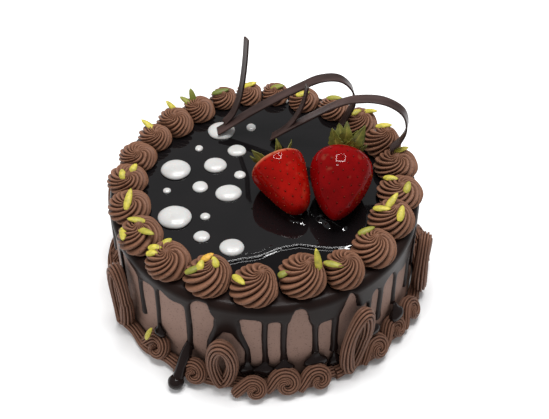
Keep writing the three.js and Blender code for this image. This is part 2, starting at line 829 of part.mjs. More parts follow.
/** A thin solid from rows of points, both of its faces split into the same triangles. */
function sheetSolid(rows, normal, thickness) {
  const columns = rows[0].length;
  const face = rows.flat();
  const shift = (distance) => face.map((p) => p.clone().addScaledVector(normal, distance));
  const points = [...shift(thickness / 2), ...shift(-thickness / 2)];
  const faces = [];
  const both = (a, b, c) => faces.push(a, b, c, face.length + a, face.length + c, face.length + b);
  const wall = (a, b) => faces.push(b, a, face.length + a, b, face.length + a, face.length + b);
  for (let r = 0; r + 1 < rows.length; r++) {
    for (let c = 0; c + 1 < columns; c++) {
      const at = r * columns + c;
      both(at, at + 1, at + columns + 1);
      both(at, at + columns + 1, at + columns);
    }
    wall((r + 1) * columns, r * columns);
    wall((r + 1) * columns - 1, (r + 2) * columns - 1);
  }
  for (let c = 0; c + 1 < columns; c++) {
    wall(c, c + 1);
    wall(face.length - columns + c + 1, face.length - columns + c);
  }
  return toSolid(new THREE.BufferGeometry().setFromPoints(points).setIndex(faces));
}

/** A thin leaf from its root, folded along the middle and bent over towards its tip. */
function leafSolid(root, along, across, length, width) {
  const normal = along.clone().cross(across);
  const rows = CALYX.leafOutline.map(([share, spread, lift]) => {
    const middle = root.clone().addScaledVector(along, share * length);
    middle.addScaledVector(normal, lift * length);
    const wide = (spread * width) / 2;
    return [1, 0, -1].map((side) => {
      const point = middle.clone().addScaledVector(across, side * wide);
      return point.addScaledVector(normal, Math.abs(side) * wide * CALYX.fold);
    });
  });
  return sheetSolid(rows, normal, CALYX.leafThickness);
}

/** The star of leaves behind a strawberry's shoulder. */
function calyx(name, size) {
  const { axis, side, up, middle } = berryFrame(size);
  const { hubRadius, hubHeight, hubGap, leafRoot, stagger } = CALYX;
  const back = axis.clone().negate();
  const root = middle.clone().addScaledVector(back, size.length / 2 + CLEARANCE + hubGap);
  const hub = new THREE.CylinderGeometry(hubRadius, hubRadius, hubHeight, 8);
  hub.applyQuaternion(new THREE.Quaternion().setFromUnitVectors(vec(0, 1, 0), back));
  hub.translate(root.x, root.y, root.z);
  const fan = size.leaves.map(([angle, length, width, lean], i) => {
    const spread = side.clone().multiplyScalar(Math.cos(rad(angle)));
    spread.addScaledVector(up, Math.sin(rad(angle)));
    const along = spread.clone().addScaledVector(back, lean).normalize();
    const across = spread.clone().cross(back).normalize();
    const start = root.clone().addScaledVector(spread, leafRoot);
    start.addScaledVector(back, i % 2 ? stagger : -stagger);
    return leafSolid(start, along, across, length, width);
  });
  return piece(name, toGeometry(wasm.Manifold.union([toSolid(hub), ...fan])), "leaf");
}

/** A flat ribbon along a smooth curve through points, its width kept along one direction. */
function ribbonSolid(points, across, steps) {
  const curve = new THREE.CatmullRomCurve3(points.map((p) => vec(...p)));
  const rings = Array.from({ length: steps + 1 }, (_, i) => {
    const along = curve.getTangentAt(i / steps);
    const wide = vec(...across).addScaledVector(along, -along.dot(vec(...across))).normalize();
    const normal = along.clone().cross(wide);
    return [
      [1, -1],
      [1, 1],
      [-1, 1],
      [-1, -1],
    ].map(([w, n]) =>
      curve
        .getPointAt(i / steps)
        .addScaledVector(wide, (w * RIBBON.width) / 2)
        .addScaledVector(normal, (n * RIBBON.thickness) / 2),
    );
  });
  return toSolid(skin(curve.getPoint(0), rings, curve.getPoint(1)));
}

function curls() {
  return Object.entries(CURLS).map(([name, { arch, strip, across, stripAcross }]) => {
    const upright = ribbonSolid(strip, stripAcross, RIBBON.stripSteps);
    const whole = ribbonSolid(arch, across, RIBBON.archSteps).add(upright);
    return piece(name, toGeometry(whole), "chocolate");
  });
}

// ---------------------------------------------------------------------------------------------

const group = new THREE.Group();
group.add(cakeBody(), glaze(), piece("glaze_spill", toGeometry(spill(0)), "glaze"));
group.add(...rosettes(), ...borderRuns(), ...dots(), ...curls());
for (const [name, size] of Object.entries(STRAWBERRIES)) {
  group.add(strawberry(name, size), calyx(name.replace("strawberry", "calyx"), size));
}

export default group;
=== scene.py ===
"""A round birthday cake: mocha cream, dark mirror glaze with drips, piped rosettes and border,
white dots, two strawberries and two chocolate curls. Sizes are in millimetres and degrees and
become metres when a mesh is written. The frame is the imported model: +Z up, front towards -Y."""

import logging
import math
import random
from dataclasses import dataclass
from enum import Enum

import bpy
import numpy as np
from mathutils import Matrix, Vector, noise


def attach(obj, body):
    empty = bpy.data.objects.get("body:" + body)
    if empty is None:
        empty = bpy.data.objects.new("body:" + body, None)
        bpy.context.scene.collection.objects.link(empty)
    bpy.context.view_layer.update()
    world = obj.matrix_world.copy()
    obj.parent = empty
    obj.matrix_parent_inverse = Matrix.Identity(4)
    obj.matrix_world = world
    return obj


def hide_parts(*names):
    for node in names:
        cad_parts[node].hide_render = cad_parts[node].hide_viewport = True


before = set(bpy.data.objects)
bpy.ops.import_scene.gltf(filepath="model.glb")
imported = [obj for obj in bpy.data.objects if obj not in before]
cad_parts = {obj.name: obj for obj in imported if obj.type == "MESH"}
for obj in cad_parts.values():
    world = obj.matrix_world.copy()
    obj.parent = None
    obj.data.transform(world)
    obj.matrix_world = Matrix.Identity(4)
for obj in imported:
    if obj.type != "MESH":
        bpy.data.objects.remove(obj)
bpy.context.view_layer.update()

logging.basicConfig(level=logging.INFO, format="%(message)s")
log = logging.getLogger("cake")

MM = 0.001
BODY = "root"

CAKE_RADIUS = 97.0
CAKE_HEIGHT = 69.0
EDGE_ROUND = 4.0
GLAZE_TOP = 70.6
SEAT = 70.9
BORDER_INNER = 98.9
GOLDEN_TURN = 137.508  # degrees between two seeds that follow one another


class Slot(Enum):
    """The record's material slots."""

    CREAM = "cream"
    GLAZE = "glaze"
    PIPED = "piped"
    WHITE = "white"
    BERRY = "berry"
    LEAF = "leaf"
    CHOCOLATE = "chocolate"


# ---------------------------------------------------------------------------------------------
# Modelling helpers
# ---------------------------------------------------------------------------------------------


def deselect_all() -> None:
    """Leaves edit mode and clears the selection, the CAD nodes included."""
    if bpy.context.mode != "OBJECT":
        bpy.ops.object.mode_set(mode="OBJECT")
    bpy.ops.object.select_all(action="DESELECT")


def activate(piece: bpy.types.Object) -> None:
    """Makes a piece the only selected object and the active one."""
    deselect_all()
    piece.select_set(True)
    bpy.context.view_layer.objects.active = piece


def apply_modifier(piece: bpy.types.Object, kind: str, **settings: object) -> None:
    """Adds a modifier and applies it.

    Args:
        piece: the object that gets it.
        kind: Blender's name for the modifier type.
        settings: its properties by name.
    """
    activate(piece)
    modifier = piece.modifiers.new(kind.lower(), kind)
    for key, value in settings.items():
        setattr(modifier, key, value)
    bpy.ops.object.modifier_apply(modifier=modifier.name)


def points_of(piece: bpy.types.Object) -> np.ndarray:
    """Returns the vertices as rows of x, y and z."""
    flat = np.zeros(len(piece.data.vertices) * 3)
    piece.data.vertices.foreach_get("co", flat)
    return flat.reshape(-1, 3)


def move_points(piece: bpy.types.Object, points: np.ndarray) -> None:
    """Writes the vertices' new places."""
    piece.data.vertices.foreach_set("co", np.ascontiguousarray(points, float).ravel())
    piece.data.update()


def copy_of(master: bpy.types.Object, name: str) -> bpy.types.Object:
    """Returns a copy of a piece with a mesh of its own."""
    copy = master.copy()
    copy.data = master.data.copy()
    copy.name = name
    copy.data.name = name
    bpy.context.scene.collection.objects.link(copy)
    return copy


def joined(pieces: list[bpy.types.Object], name: str) -> bpy.types.Object:
    """Joins pieces into one object.

    Args:
        pieces: the objects, all at the origin.
        name: the name of the whole.

    Returns:
        The joined object.
    """
    deselect_all()
    for piece in pieces:
        piece.select_set(True)
    bpy.context.view_layer.objects.active = pieces[0]
    bpy.ops.object.join()
    whole = bpy.context.active_object
    whole.name = name
    whole.data.name = name
    return whole


def settle(piece: bpy.types.Object) -> None:
    """Moves a piece's place, turn and size into its mesh."""
    activate(piece)
    bpy.ops.object.transform_apply(location=True, rotation=True, scale=True)


def face_outwards(piece: bpy.types.Object) -> None:
    """Merges doubles and turns every face of a closed piece outwards."""
    activate(piece)
    bpy.ops.object.mode_set(mode="EDIT")
    bpy.ops.mesh.select_all(action="SELECT")
    bpy.ops.mesh.remove_doubles(threshold=1e-7)
    bpy.ops.mesh.normals_make_consistent(inside=False)
    bpy.ops.object.mode_set(mode="OBJECT")


def smooth(piece: bpy.types.Object, angle: float | None = None) -> None:
    """Shades a piece smooth, with edges sharper than an angle in degrees kept when one is given."""
    activate(piece)
    if angle is None:
        bpy.ops.object.shade_smooth()
    else:
        bpy.ops.object.shade_smooth_by_angle(angle=math.radians(angle))


def hand_over(
    piece: bpy.types.Object, material: bpy.types.Material, nodes: list[str]
) -> None:
    """Dresses a finished piece and ties it to the frame.

    Args:
        piece: the object, at the origin.
        material: its finish.
        nodes: the CAD nodes that it stands for.
    """
    piece.data.materials.clear()
    piece.data.materials.append(material)
    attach(piece, BODY)
    if nodes:
        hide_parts(*nodes)
    log.info("%s: %d faces for %s", piece.name, len(piece.data.polygons), nodes or "itself")


def ring_lofted(
    columns: int, profile: list[tuple[float, float]], name: str, turn: float = 0.0
) -> bpy.types.Object:
    """A closed turned form: a circle drawn up ring by ring and merged at its tip.

    Args:
        columns: vertices of each ring.
        profile: radius and height of each ring, the last one being the tip.
        name: the piece's name.
        turn: how far each ring turns past the one below it, in degrees.

    Returns:
        The new object, in the units of the profile.
    """
    deselect_all()
    radius, height = profile[0]
    bpy.ops.mesh.primitive_circle_add(
        vertices=columns, radius=radius, fill_type="NOTHING", location=(0, 0, height)
    )
    piece = bpy.context.active_object
    piece.name = name
    settle(piece)
    bpy.ops.object.mode_set(mode="EDIT")
    bpy.ops.mesh.select_all(action="SELECT")
    bpy.ops.mesh.edge_face_add()
    bpy.ops.mesh.select_mode(type="EDGE")
    for wider, higher in profile[1:-1]:
        rise = (0, 0, higher - height)
        bpy.ops.mesh.extrude_region_move(TRANSFORM_OT_translate={"value": rise})
        share = wider / radius
        middle = (0, 0, higher)
        bpy.ops.transform.resize(value=(share, share, 1), center_override=middle)
        if turn:
            bpy.ops.transform.rotate(
                value=math.radians(turn), orient_axis="Z", center_override=middle
            )
        radius, height = wider, higher
    bpy.ops.mesh.merge(type="CENTER")
    bpy.ops.mesh.select_mode(type="VERT")
    bpy.ops.object.mode_set(mode="OBJECT")
    points = points_of(piece)
    tip = int(np.argmax(points[:, 2] * 1e3 - np.hypot(points[:, 0], points[:, 1])))
    points[tip] = (0, 0, profile[-1][1])
    move_points(piece, points)
    face_outwards(piece)
    return piece


def grid(columns: int, rows: int, name: str) -> tuple[bpy.types.Object, np.ndarray, np.ndarray]:
    """A flat sheet of quads to be shaped.

    Args:
        columns: quads along its first side.
        rows: quads along its second side.
        name: the piece's name.

    Returns:
        The object, and each vertex's share along the two sides, from 0 to 1.
    """
    deselect_all()
    bpy.ops.mesh.primitive_grid_add(x_subdivisions=columns, y_subdivisions=rows, size=2)
    piece = bpy.context.active_object
    piece.name = name
    points = points_of(piece)
    return piece, (points[:, 0] + 1) / 2, (points[:, 1] + 1) / 2


def polar(radius: np.ndarray, azimuth: np.ndarray, z: np.ndarray) -> np.ndarray:
    """Returns points from distances to the axis, azimuths in degrees and heights."""
    turn = np.radians(azimuth)
    return np.stack([radius * np.cos(turn), radius * np.sin(turn), z + 0 * turn], -1)


def smooth_line(knots: list[tuple[float, ...]], count: int) -> np.ndarray:
    """Evenly spaced points on a smooth curve through knots.

    Args:
        knots: the points that it passes, of any dimension.
        count: how many points to return.

    Returns:
        An array of that many points.
    """
    given = np.array(knots, float)
    padded = np.vstack([2 * given[0] - given[1], given, 2 * given[-1] - given[-2]])
    fine = []
    for i in range(len(given) - 1):
        a, b, c, d = padded[i : i + 4]
        t = np.linspace(0, 1, 24, endpoint=False)[:, None]
        fine.append(
            0.5 * (2 * b + (c - a) * t + (2 * a - 5 * b + 4 * c - d) * t**2)
            + 0.5 * (3 * b - 3 * c + d - a) * t**3
        )
    line = np.vstack([*fine, given[-1:]])
    steps = np.linalg.norm(np.diff(line[:, :3], axis=0), axis=1)
    reach = np.concatenate([[0], np.cumsum(steps)])
    wanted = np.linspace(0, reach[-1], count)
    return np.stack([np.interp(wanted, reach, column) for column in line.T], -1)


def smooth_max(a: np.ndarray, b: np.ndarray, blend: float) -> np.ndarray:
    """Returns the greater of two fields with the crease between them rounded."""
    near = np.maximum(blend - np.abs(a - b), 0)
    return np.maximum(a, b) + near**2 / (4 * blend)


def stroke(u: np.ndarray, z: np.ndarray, line: list[tuple[float, float, float]]) -> np.ndarray:
    """How far points lie inside a painted line.

    Args:
        u: first coordinates.
        z: second coordinates.
        line: its knots, as first coordinate, second coordinate and half width.

    Returns:
        Distances to its edge, positive inside.
    """
    best = np.full(u.shape, -1e3)
    for (u0, z0, w0), (u1, z1, w1) in zip(line, line[1:]):
        du, dz = u1 - u0, z1 - z0
        t = np.clip(((u - u0) * du + (z - z0) * dz) / (du * du + dz * dz), 0, 1)
        gap = np.hypot(u - u0 - t * du, z - z0 - t * dz)
        best = np.maximum(best, w0 + (w1 - w0) * t - gap)
    return best


# ---------------------------------------------------------------------------------------------
# Finishes
# ---------------------------------------------------------------------------------------------


class Shader:
    """A node material under construction, on Object coordinates in metres."""

    def __init__(self, name: str) -> None:
        """Starts the material with its shader and output."""
        self.material = bpy.data.materials.new(name)
        self.material.use_nodes = True
        self.tree = self.material.node_tree
        self.shader = self.tree.nodes["Principled BSDF"]
        self.coordinates = self.tree.nodes.new("ShaderNodeTexCoord").outputs["Object"]

    def add(self, kind: str, **settings: object) -> bpy.types.Node:
        """Returns a new node with its properties set."""
        node = self.tree.nodes.new(kind)
        for key, value in settings.items():
            setattr(node, key, value)
        return node

    def link(self, source: bpy.types.NodeSocket, target: bpy.types.NodeSocket) -> None:
        """Joins two sockets."""
        self.tree.links.new(source, target)

    def stretched(self, scale: tuple[float, float, float]) -> bpy.types.NodeSocket:
        """Returns the coordinates scaled along each axis."""
        mapping = self.add("ShaderNodeMapping")
        mapping.inputs["Scale"].default_value = scale
        self.link(self.coordinates, mapping.inputs["Vector"])
        return mapping.outputs["Vector"]

    def noise(
        self, scale: float, detail: float = 3.0, at: bpy.types.NodeSocket | None = None
    ) -> bpy.types.NodeSocket:
        """Returns a noise of so many waves a metre."""
        node = self.add("ShaderNodeTexNoise")
        node.inputs["Scale"].default_value = scale
        node.inputs["Detail"].default_value = detail
        self.link(at or self.coordinates, node.inputs["Vector"])
        return node.outputs["Fac"]

    def ramp(
        self, source: bpy.types.NodeSocket, stops: list[tuple[float, tuple[float, ...]]]
    ) -> bpy.types.NodeSocket:
        """Returns colours laid along a value."""
        node = self.add("ShaderNodeValToRGB")
        stripe = node.color_ramp
        while len(stripe.elements) < len(stops):
            stripe.elements.new(0.5)
        for element, (place, colour) in zip(stripe.elements, stops):
            element.position = place
            element.color = (*colour[:3], 1)
        self.link(source, node.inputs["Fac"])
        return node.outputs["Color"]

    def mixed(
        self, share: bpy.types.NodeSocket, a: object, b: object, how: str = "MIX"
    ) -> bpy.types.NodeSocket:
        """Returns two colours mixed by a share."""
        node = self.add("ShaderNodeMix", data_type="RGBA", blend_type=how)
        self.link(share, node.inputs[0])
        for socket, value in ((node.inputs[6], a), (node.inputs[7], b)):
            if isinstance(value, bpy.types.NodeSocket):
                self.link(value, socket)
            else:
                socket.default_value = (*value[:3], 1)
        return node.outputs[2]

    def ranged(self, source: bpy.types.NodeSocket, low: float, high: float) -> bpy.types.NodeSocket:
        """Returns a 0 to 1 value mapped to a range."""
        node = self.add("ShaderNodeMapRange")
        node.inputs["To Min"].default_value = low
        node.inputs["To Max"].default_value = high
        self.link(source, node.inputs["Value"])
        return node.outputs["Result"]

    def bump(self, height: bpy.types.NodeSocket, depth: float) -> None:
        """Adds relief of a depth in metres."""
        node = self.add("ShaderNodeBump")
        node.inputs["Strength"].default_value = 1.0
        node.inputs["Distance"].default_value = depth
        self.link(height, node.inputs["Height"])
        self.link(node.outputs["Normal"], self.shader.inputs["Normal"])

    def set(self, **numbers: float) -> None:
        """Sets the shader's own sockets by name, with underscores for spaces."""
        for key, value in numbers.items():
            self.shader.inputs[key.replace("_", " ")].default_value = value


@dataclass(frozen=True)
class CreamFinish:
    """Whipped mocha cream, smoothed or piped, with fine cocoa specks and painted valley shade."""

    name: str
    dark: tuple[float, float, float]
    light: tuple[float, float, float]
    speck: tuple[float, float, float]
    speck_share: float
    roughness: float
    # painted shade: the colour that the valleys of the piping are darkened towards
    deep: tuple[float, float, float] = (0.03, 0.012, 0.008)
    sheen: float = 0.2

    def build(self) -> bpy.types.Material:
        """Returns the material."""
        made = Shader(self.name)
        cloud = made.noise(38, 4)
        base = made.ramp(cloud, [(0.3, self.dark), (0.7, self.light)])
        dots = made.noise(900, 1)
        share = made.ramp(
            dots,
            [(1 - self.speck_share - 0.05, (0, 0, 0)), (1 - self.speck_share, (1, 1, 1))],
        )
        base = made.mixed(share, base, self.speck)
        # painted shade: the valleys, as the valley attribute gives them, are mixed towards the deep
        # colour
        valley = made.add("ShaderNodeAttribute", attribute_name="valley")
        base = made.mixed(valley.outputs["Fac"], base, self.deep)
        made.link(base, made.shader.inputs["Base Color"])
        grain = made.noise(1500, 2)
        made.link(
            made.ranged(grain, self.roughness - 0.08, self.roughness + 0.1),
            made.shader.inputs["Roughness"],
        )
        made.bump(made.noise(700, 3), 0.00012)
        made.set(Specular_IOR_Level=self.sheen)
        return made.material


@dataclass(frozen=True)
class GlazeFinish:
    """Dark chocolate mirror glaze."""

    name: str
    dark: tuple[float, float, float]
    light: tuple[float, float, float]
    roughness: float
    waves: float
    sheen: float = 0.5
    dulled: float = 0.25

    def build(self) -> bpy.types.Material:
        """Returns the material."""
        made = Shader(self.name)
        base = made.ramp(made.noise(45, 3), [(0.3, self.dark), (0.7, self.light)])
        made.link(base, made.shader.inputs["Base Color"])
        made.link(
            made.ranged(made.noise(120, 2), self.roughness * 0.8, self.roughness * 1.25),
            made.shader.inputs["Roughness"],
        )
        made.bump(made.noise(60, 1), self.waves)
        dull = made.add("ShaderNodeAttribute", attribute_name="dull")
        made.link(
            made.ranged(dull.outputs["Fac"], self.sheen, self.sheen * self.dulled),
            made.shader.inputs["Specular IOR Level"],
        )
        return made.material


@dataclass(frozen=True)
class WhiteFinish:
    """Glossy white chocolate."""

    name: str = "white_chocolate"
    colour: tuple[float, float, float] = (0.455, 0.451, 0.44)
    shade: tuple[float, float, float] = (0.395, 0.387, 0.374)

    def build(self) -> bpy.types.Material:
        """Returns the material."""
        made = Shader(self.name)
        base = made.ramp(made.noise(90, 3), [(0.25, self.shade), (0.6, self.colour)])
        made.link(base, made.shader.inputs["Base Color"])
        made.link(made.ranged(made.noise(300, 2), 0.16, 0.34), made.shader.inputs["Roughness"])
        made.bump(made.noise(260, 2), 0.0001)
        made.set(Subsurface_Weight=0.08, Subsurface_Scale=0.001)
        return made.material


@dataclass(frozen=True)
class BerryFinish:
    """Wet strawberry skin, paler by the calyx, with its pits darkened as painted shade."""

    name: str
    deep: tuple[float, float, float]
    bright: tuple[float, float, float]
    shoulder: tuple[float, float, float]

    def build(self) -> bpy.types.Material:
        """Returns the material."""
        made = Shader(self.name)
        base = made.ramp(made.noise(60, 3), [(0.3, self.deep), (0.7, self.bright)])
        pale = made.add("ShaderNodeAttribute", attribute_name="pale")
        pit = made.add("ShaderNodeAttribute", attribute_name="pit")
        skin = made.mixed(pale.outputs["Fac"], base, self.shoulder)
        # painted shade: the skin in the pits is mixed towards the deep red
        skin = made.mixed(pit.outputs["Fac"], skin, self.deep)
        patch = made.ramp(made.noise(95, 2), [(0.62, (0, 0, 0)), (0.8, (0.16, 0.16, 0.16))])
        skin = made.mixed(patch, skin, self.shoulder)
        made.link(skin, made.shader.inputs["Base Color"])
        made.link(made.ranged(made.noise(500, 2), 0.1, 0.2), made.shader.inputs["Roughness"])
        made.bump(made.noise(420, 2), 0.00015)
        made.set(Coat_Weight=0.2, Coat_Roughness=0.02, Specular_IOR_Level=0.0)
        return made.material


@dataclass(frozen=True)
class SeedFinish:
    """Strawberry seeds, reddened by the wet skin."""

    name: str
    dark: tuple[float, float, float]
    light: tuple[float, float, float]

    def build(self) -> bpy.types.Material:
        """Returns the material."""
        made = Shader(self.name)
        base = made.ramp(made.noise(150, 2), [(0.35, self.dark), (0.65, self.light)])
        made.link(base, made.shader.inputs["Base Color"])
        made.link(made.ranged(made.noise(800, 2), 0.2, 0.35), made.shader.inputs["Roughness"])
        made.set(Specular_IOR_Level=0.12)
        return made.material


@dataclass(frozen=True)
class LeafFinish:
    """Strawberry leaf, yellow-green along the ribs."""

    name: str = "calyx_leaf"
    dark: tuple[float, float, float] = (0.03, 0.036, 0.006)
    light: tuple[float, float, float] = (0.13, 0.125, 0.02)
    rib: tuple[float, float, float] = (0.26, 0.22, 0.05)

    def build(self) -> bpy.types.Material:
        """Returns the material."""
        made = Shader(self.name)
        base = made.ramp(made.noise(140, 4), [(0.3, self.dark), (0.7, self.light)])
        rib = made.add("ShaderNodeAttribute", attribute_name="rib")
        made.link(made.mixed(rib.outputs["Fac"], base, self.rib), made.shader.inputs["Base Color"])
        made.link(made.ranged(made.noise(300, 2), 0.4, 0.6), made.shader.inputs["Roughness"])
        made.bump(made.noise(600, 3), 0.0002)
        made.set(Specular_IOR_Level=0.25)
        return made.material


@dataclass(frozen=True)
class ChocolateFinish:
    """Dark chocolate ribbon, streaked by the scraper."""

    name: str = "dark_chocolate"
    dark: tuple[float, float, float] = (0.02, 0.0115, 0.01)
    light: tuple[float, float, float] = (0.055, 0.032, 0.028)

    def build(self) -> bpy.types.Material:
        """Returns the material."""
        made = Shader(self.name)
        streaks = made.noise(160, 3, made.stretched((0.25, 1.0, 0.25)))
        base = made.ramp(streaks, [(0.3, self.dark), (0.7, self.light)])
        made.link(base, made.shader.inputs["Base Color"])
        made.link(made.ranged(made.noise(90, 2), 0.28, 0.42), made.shader.inputs["Roughness"])
        made.bump(made.noise(400, 3), 0.00006)
        made.set(Specular_IOR_Level=0.28)
        return made.material


@dataclass(frozen=True)
class NutFinish:
    """Pistachio slivers, from pale yellow-green to dark green by the piece's own tone."""

    name: str = "pistachio"
    pale: tuple[float, float, float] = (0.5, 0.42, 0.05)
    green: tuple[float, float, float] = (0.1, 0.12, 0.015)
    amber: tuple[float, float, float] = (0.62, 0.33, 0.04)

    def build(self) -> bpy.types.Material:
        """Returns the material."""
        made = Shader(self.name)
        tone = made.add("ShaderNodeAttribute", attribute_name="tone")
        base = made.ramp(
            tone.outputs["Fac"], [(0.0, self.green), (0.45, self.pale), (0.9, self.pale)]
        )
        warm = made.ramp(tone.outputs["Fac"], [(0.94, (0, 0, 0)), (1.0, (1, 1, 1))])
        base = made.mixed(warm, base, self.amber)
        mottled = made.ramp(made.noise(420, 3), [(0.35, (0, 0, 0)), (0.7, (0.55, 0.55, 0.55))])
        made.link(made.mixed(mottled, base, self.green), made.shader.inputs["Base Color"])
        made.link(made.ranged(made.noise(500, 2), 0.45, 0.65), made.shader.inputs["Roughness"])
        made.bump(made.noise(900, 2), 0.0001)
        return made.material


@dataclass(frozen=True)
class FloorFinish:
    """Plain pale paper."""

    name: str = "pale_floor"
    light: tuple[float, float, float] = (0.9, 0.9, 0.9)
    dark: tuple[float, float, float] = (0.885, 0.885, 0.885)

    def build(self) -> bpy.types.Material:
        """Returns the material."""
        made = Shader(self.name)
        base = made.ramp(made.noise(6, 2), [(0.3, self.dark), (0.7, self.light)])
        made.link(base, made.shader.inputs["Base Color"])
        made.set(Roughness=0.8)
        return made.material


# ---------------------------------------------------------------------------------------------
# Cake body and glaze
# ---------------------------------------------------------------------------------------------


@dataclass
class CakeBody:
    """The cream-coated cake, smoothed with a scraper."""

    columns: int = 288
    foot_width: float = 1.6
    foot_top: float = 8.0
    scraper_marks: float = 0.16
    wall_from: float = 14.0
    wall_rings: int = 28
    top_rings: tuple[float, ...] = (70.0, 30.0, 0.0)
    wall_inside: float = 90.0  # nearer the axis than this is the top, which has no marks
    finish: CreamFinish = CreamFinish(
        "mocha_wall", (0.22, 0.135, 0.105), (0.255, 0.16, 0.127), (0.14, 0.083, 0.063), 0.31, 0.6
    )

    def profile(self) -> list[tuple[float, float]]:
        """Returns radius and height from the foot to the middle of the top."""
        wide = CAKE_RADIUS + self.foot_width
        rows = [(wide, 0.0), (wide, 3.0), (wide, self.foot_top - 1)]
        rows.append((wide - 0.5, self.foot_top + 1))
        rows.append((CAKE_RADIUS, self.foot_top + 2 * self.foot_width))
        top = CAKE_HEIGHT - EDGE_ROUND
        rows += [(CAKE_RADIUS, z) for z in np.linspace(self.wall_from, top, self.wall_rings)]
        for turn in np.radians(np.linspace(15, 90, 6)):
            inner = CAKE_RADIUS - EDGE_ROUND
            rows.append((inner + EDGE_ROUND * math.cos(turn), top + EDGE_ROUND * math.sin(turn)))
        rows += [(radius, CAKE_HEIGHT) for radius in self.top_rings]
        return [(r * MM, z * MM) for r, z in rows]

    def build(self) -> bpy.types.Object:
        """Builds the body, ties it to the frame and hides its node.

        Returns:
            The finished piece.
        """
        piece = ring_lofted(self.columns, self.profile(), "cake_body")
        points = points_of(piece) / MM
        radius = np.hypot(points[:, 0], points[:, 1])
        turn = np.arctan2(points[:, 1], points[:, 0])
        marks = [
            noise.noise(Vector((3 * math.cos(a), 3 * math.sin(a), z * 0.12)))
            for a, z in zip(turn, points[:, 2])
        ]
        on_wall = (radius > self.wall_inside) & (points[:, 2] > 1)
        shift = 1 + self.scraper_marks * np.array(marks) * on_wall / CAKE_RADIUS
        points[:, :2] *= shift[:, None]
        move_points(piece, points * MM)
        smooth(piece, 40)
        hand_over(piece, self.finish.build(), ["cake"])
        return piece


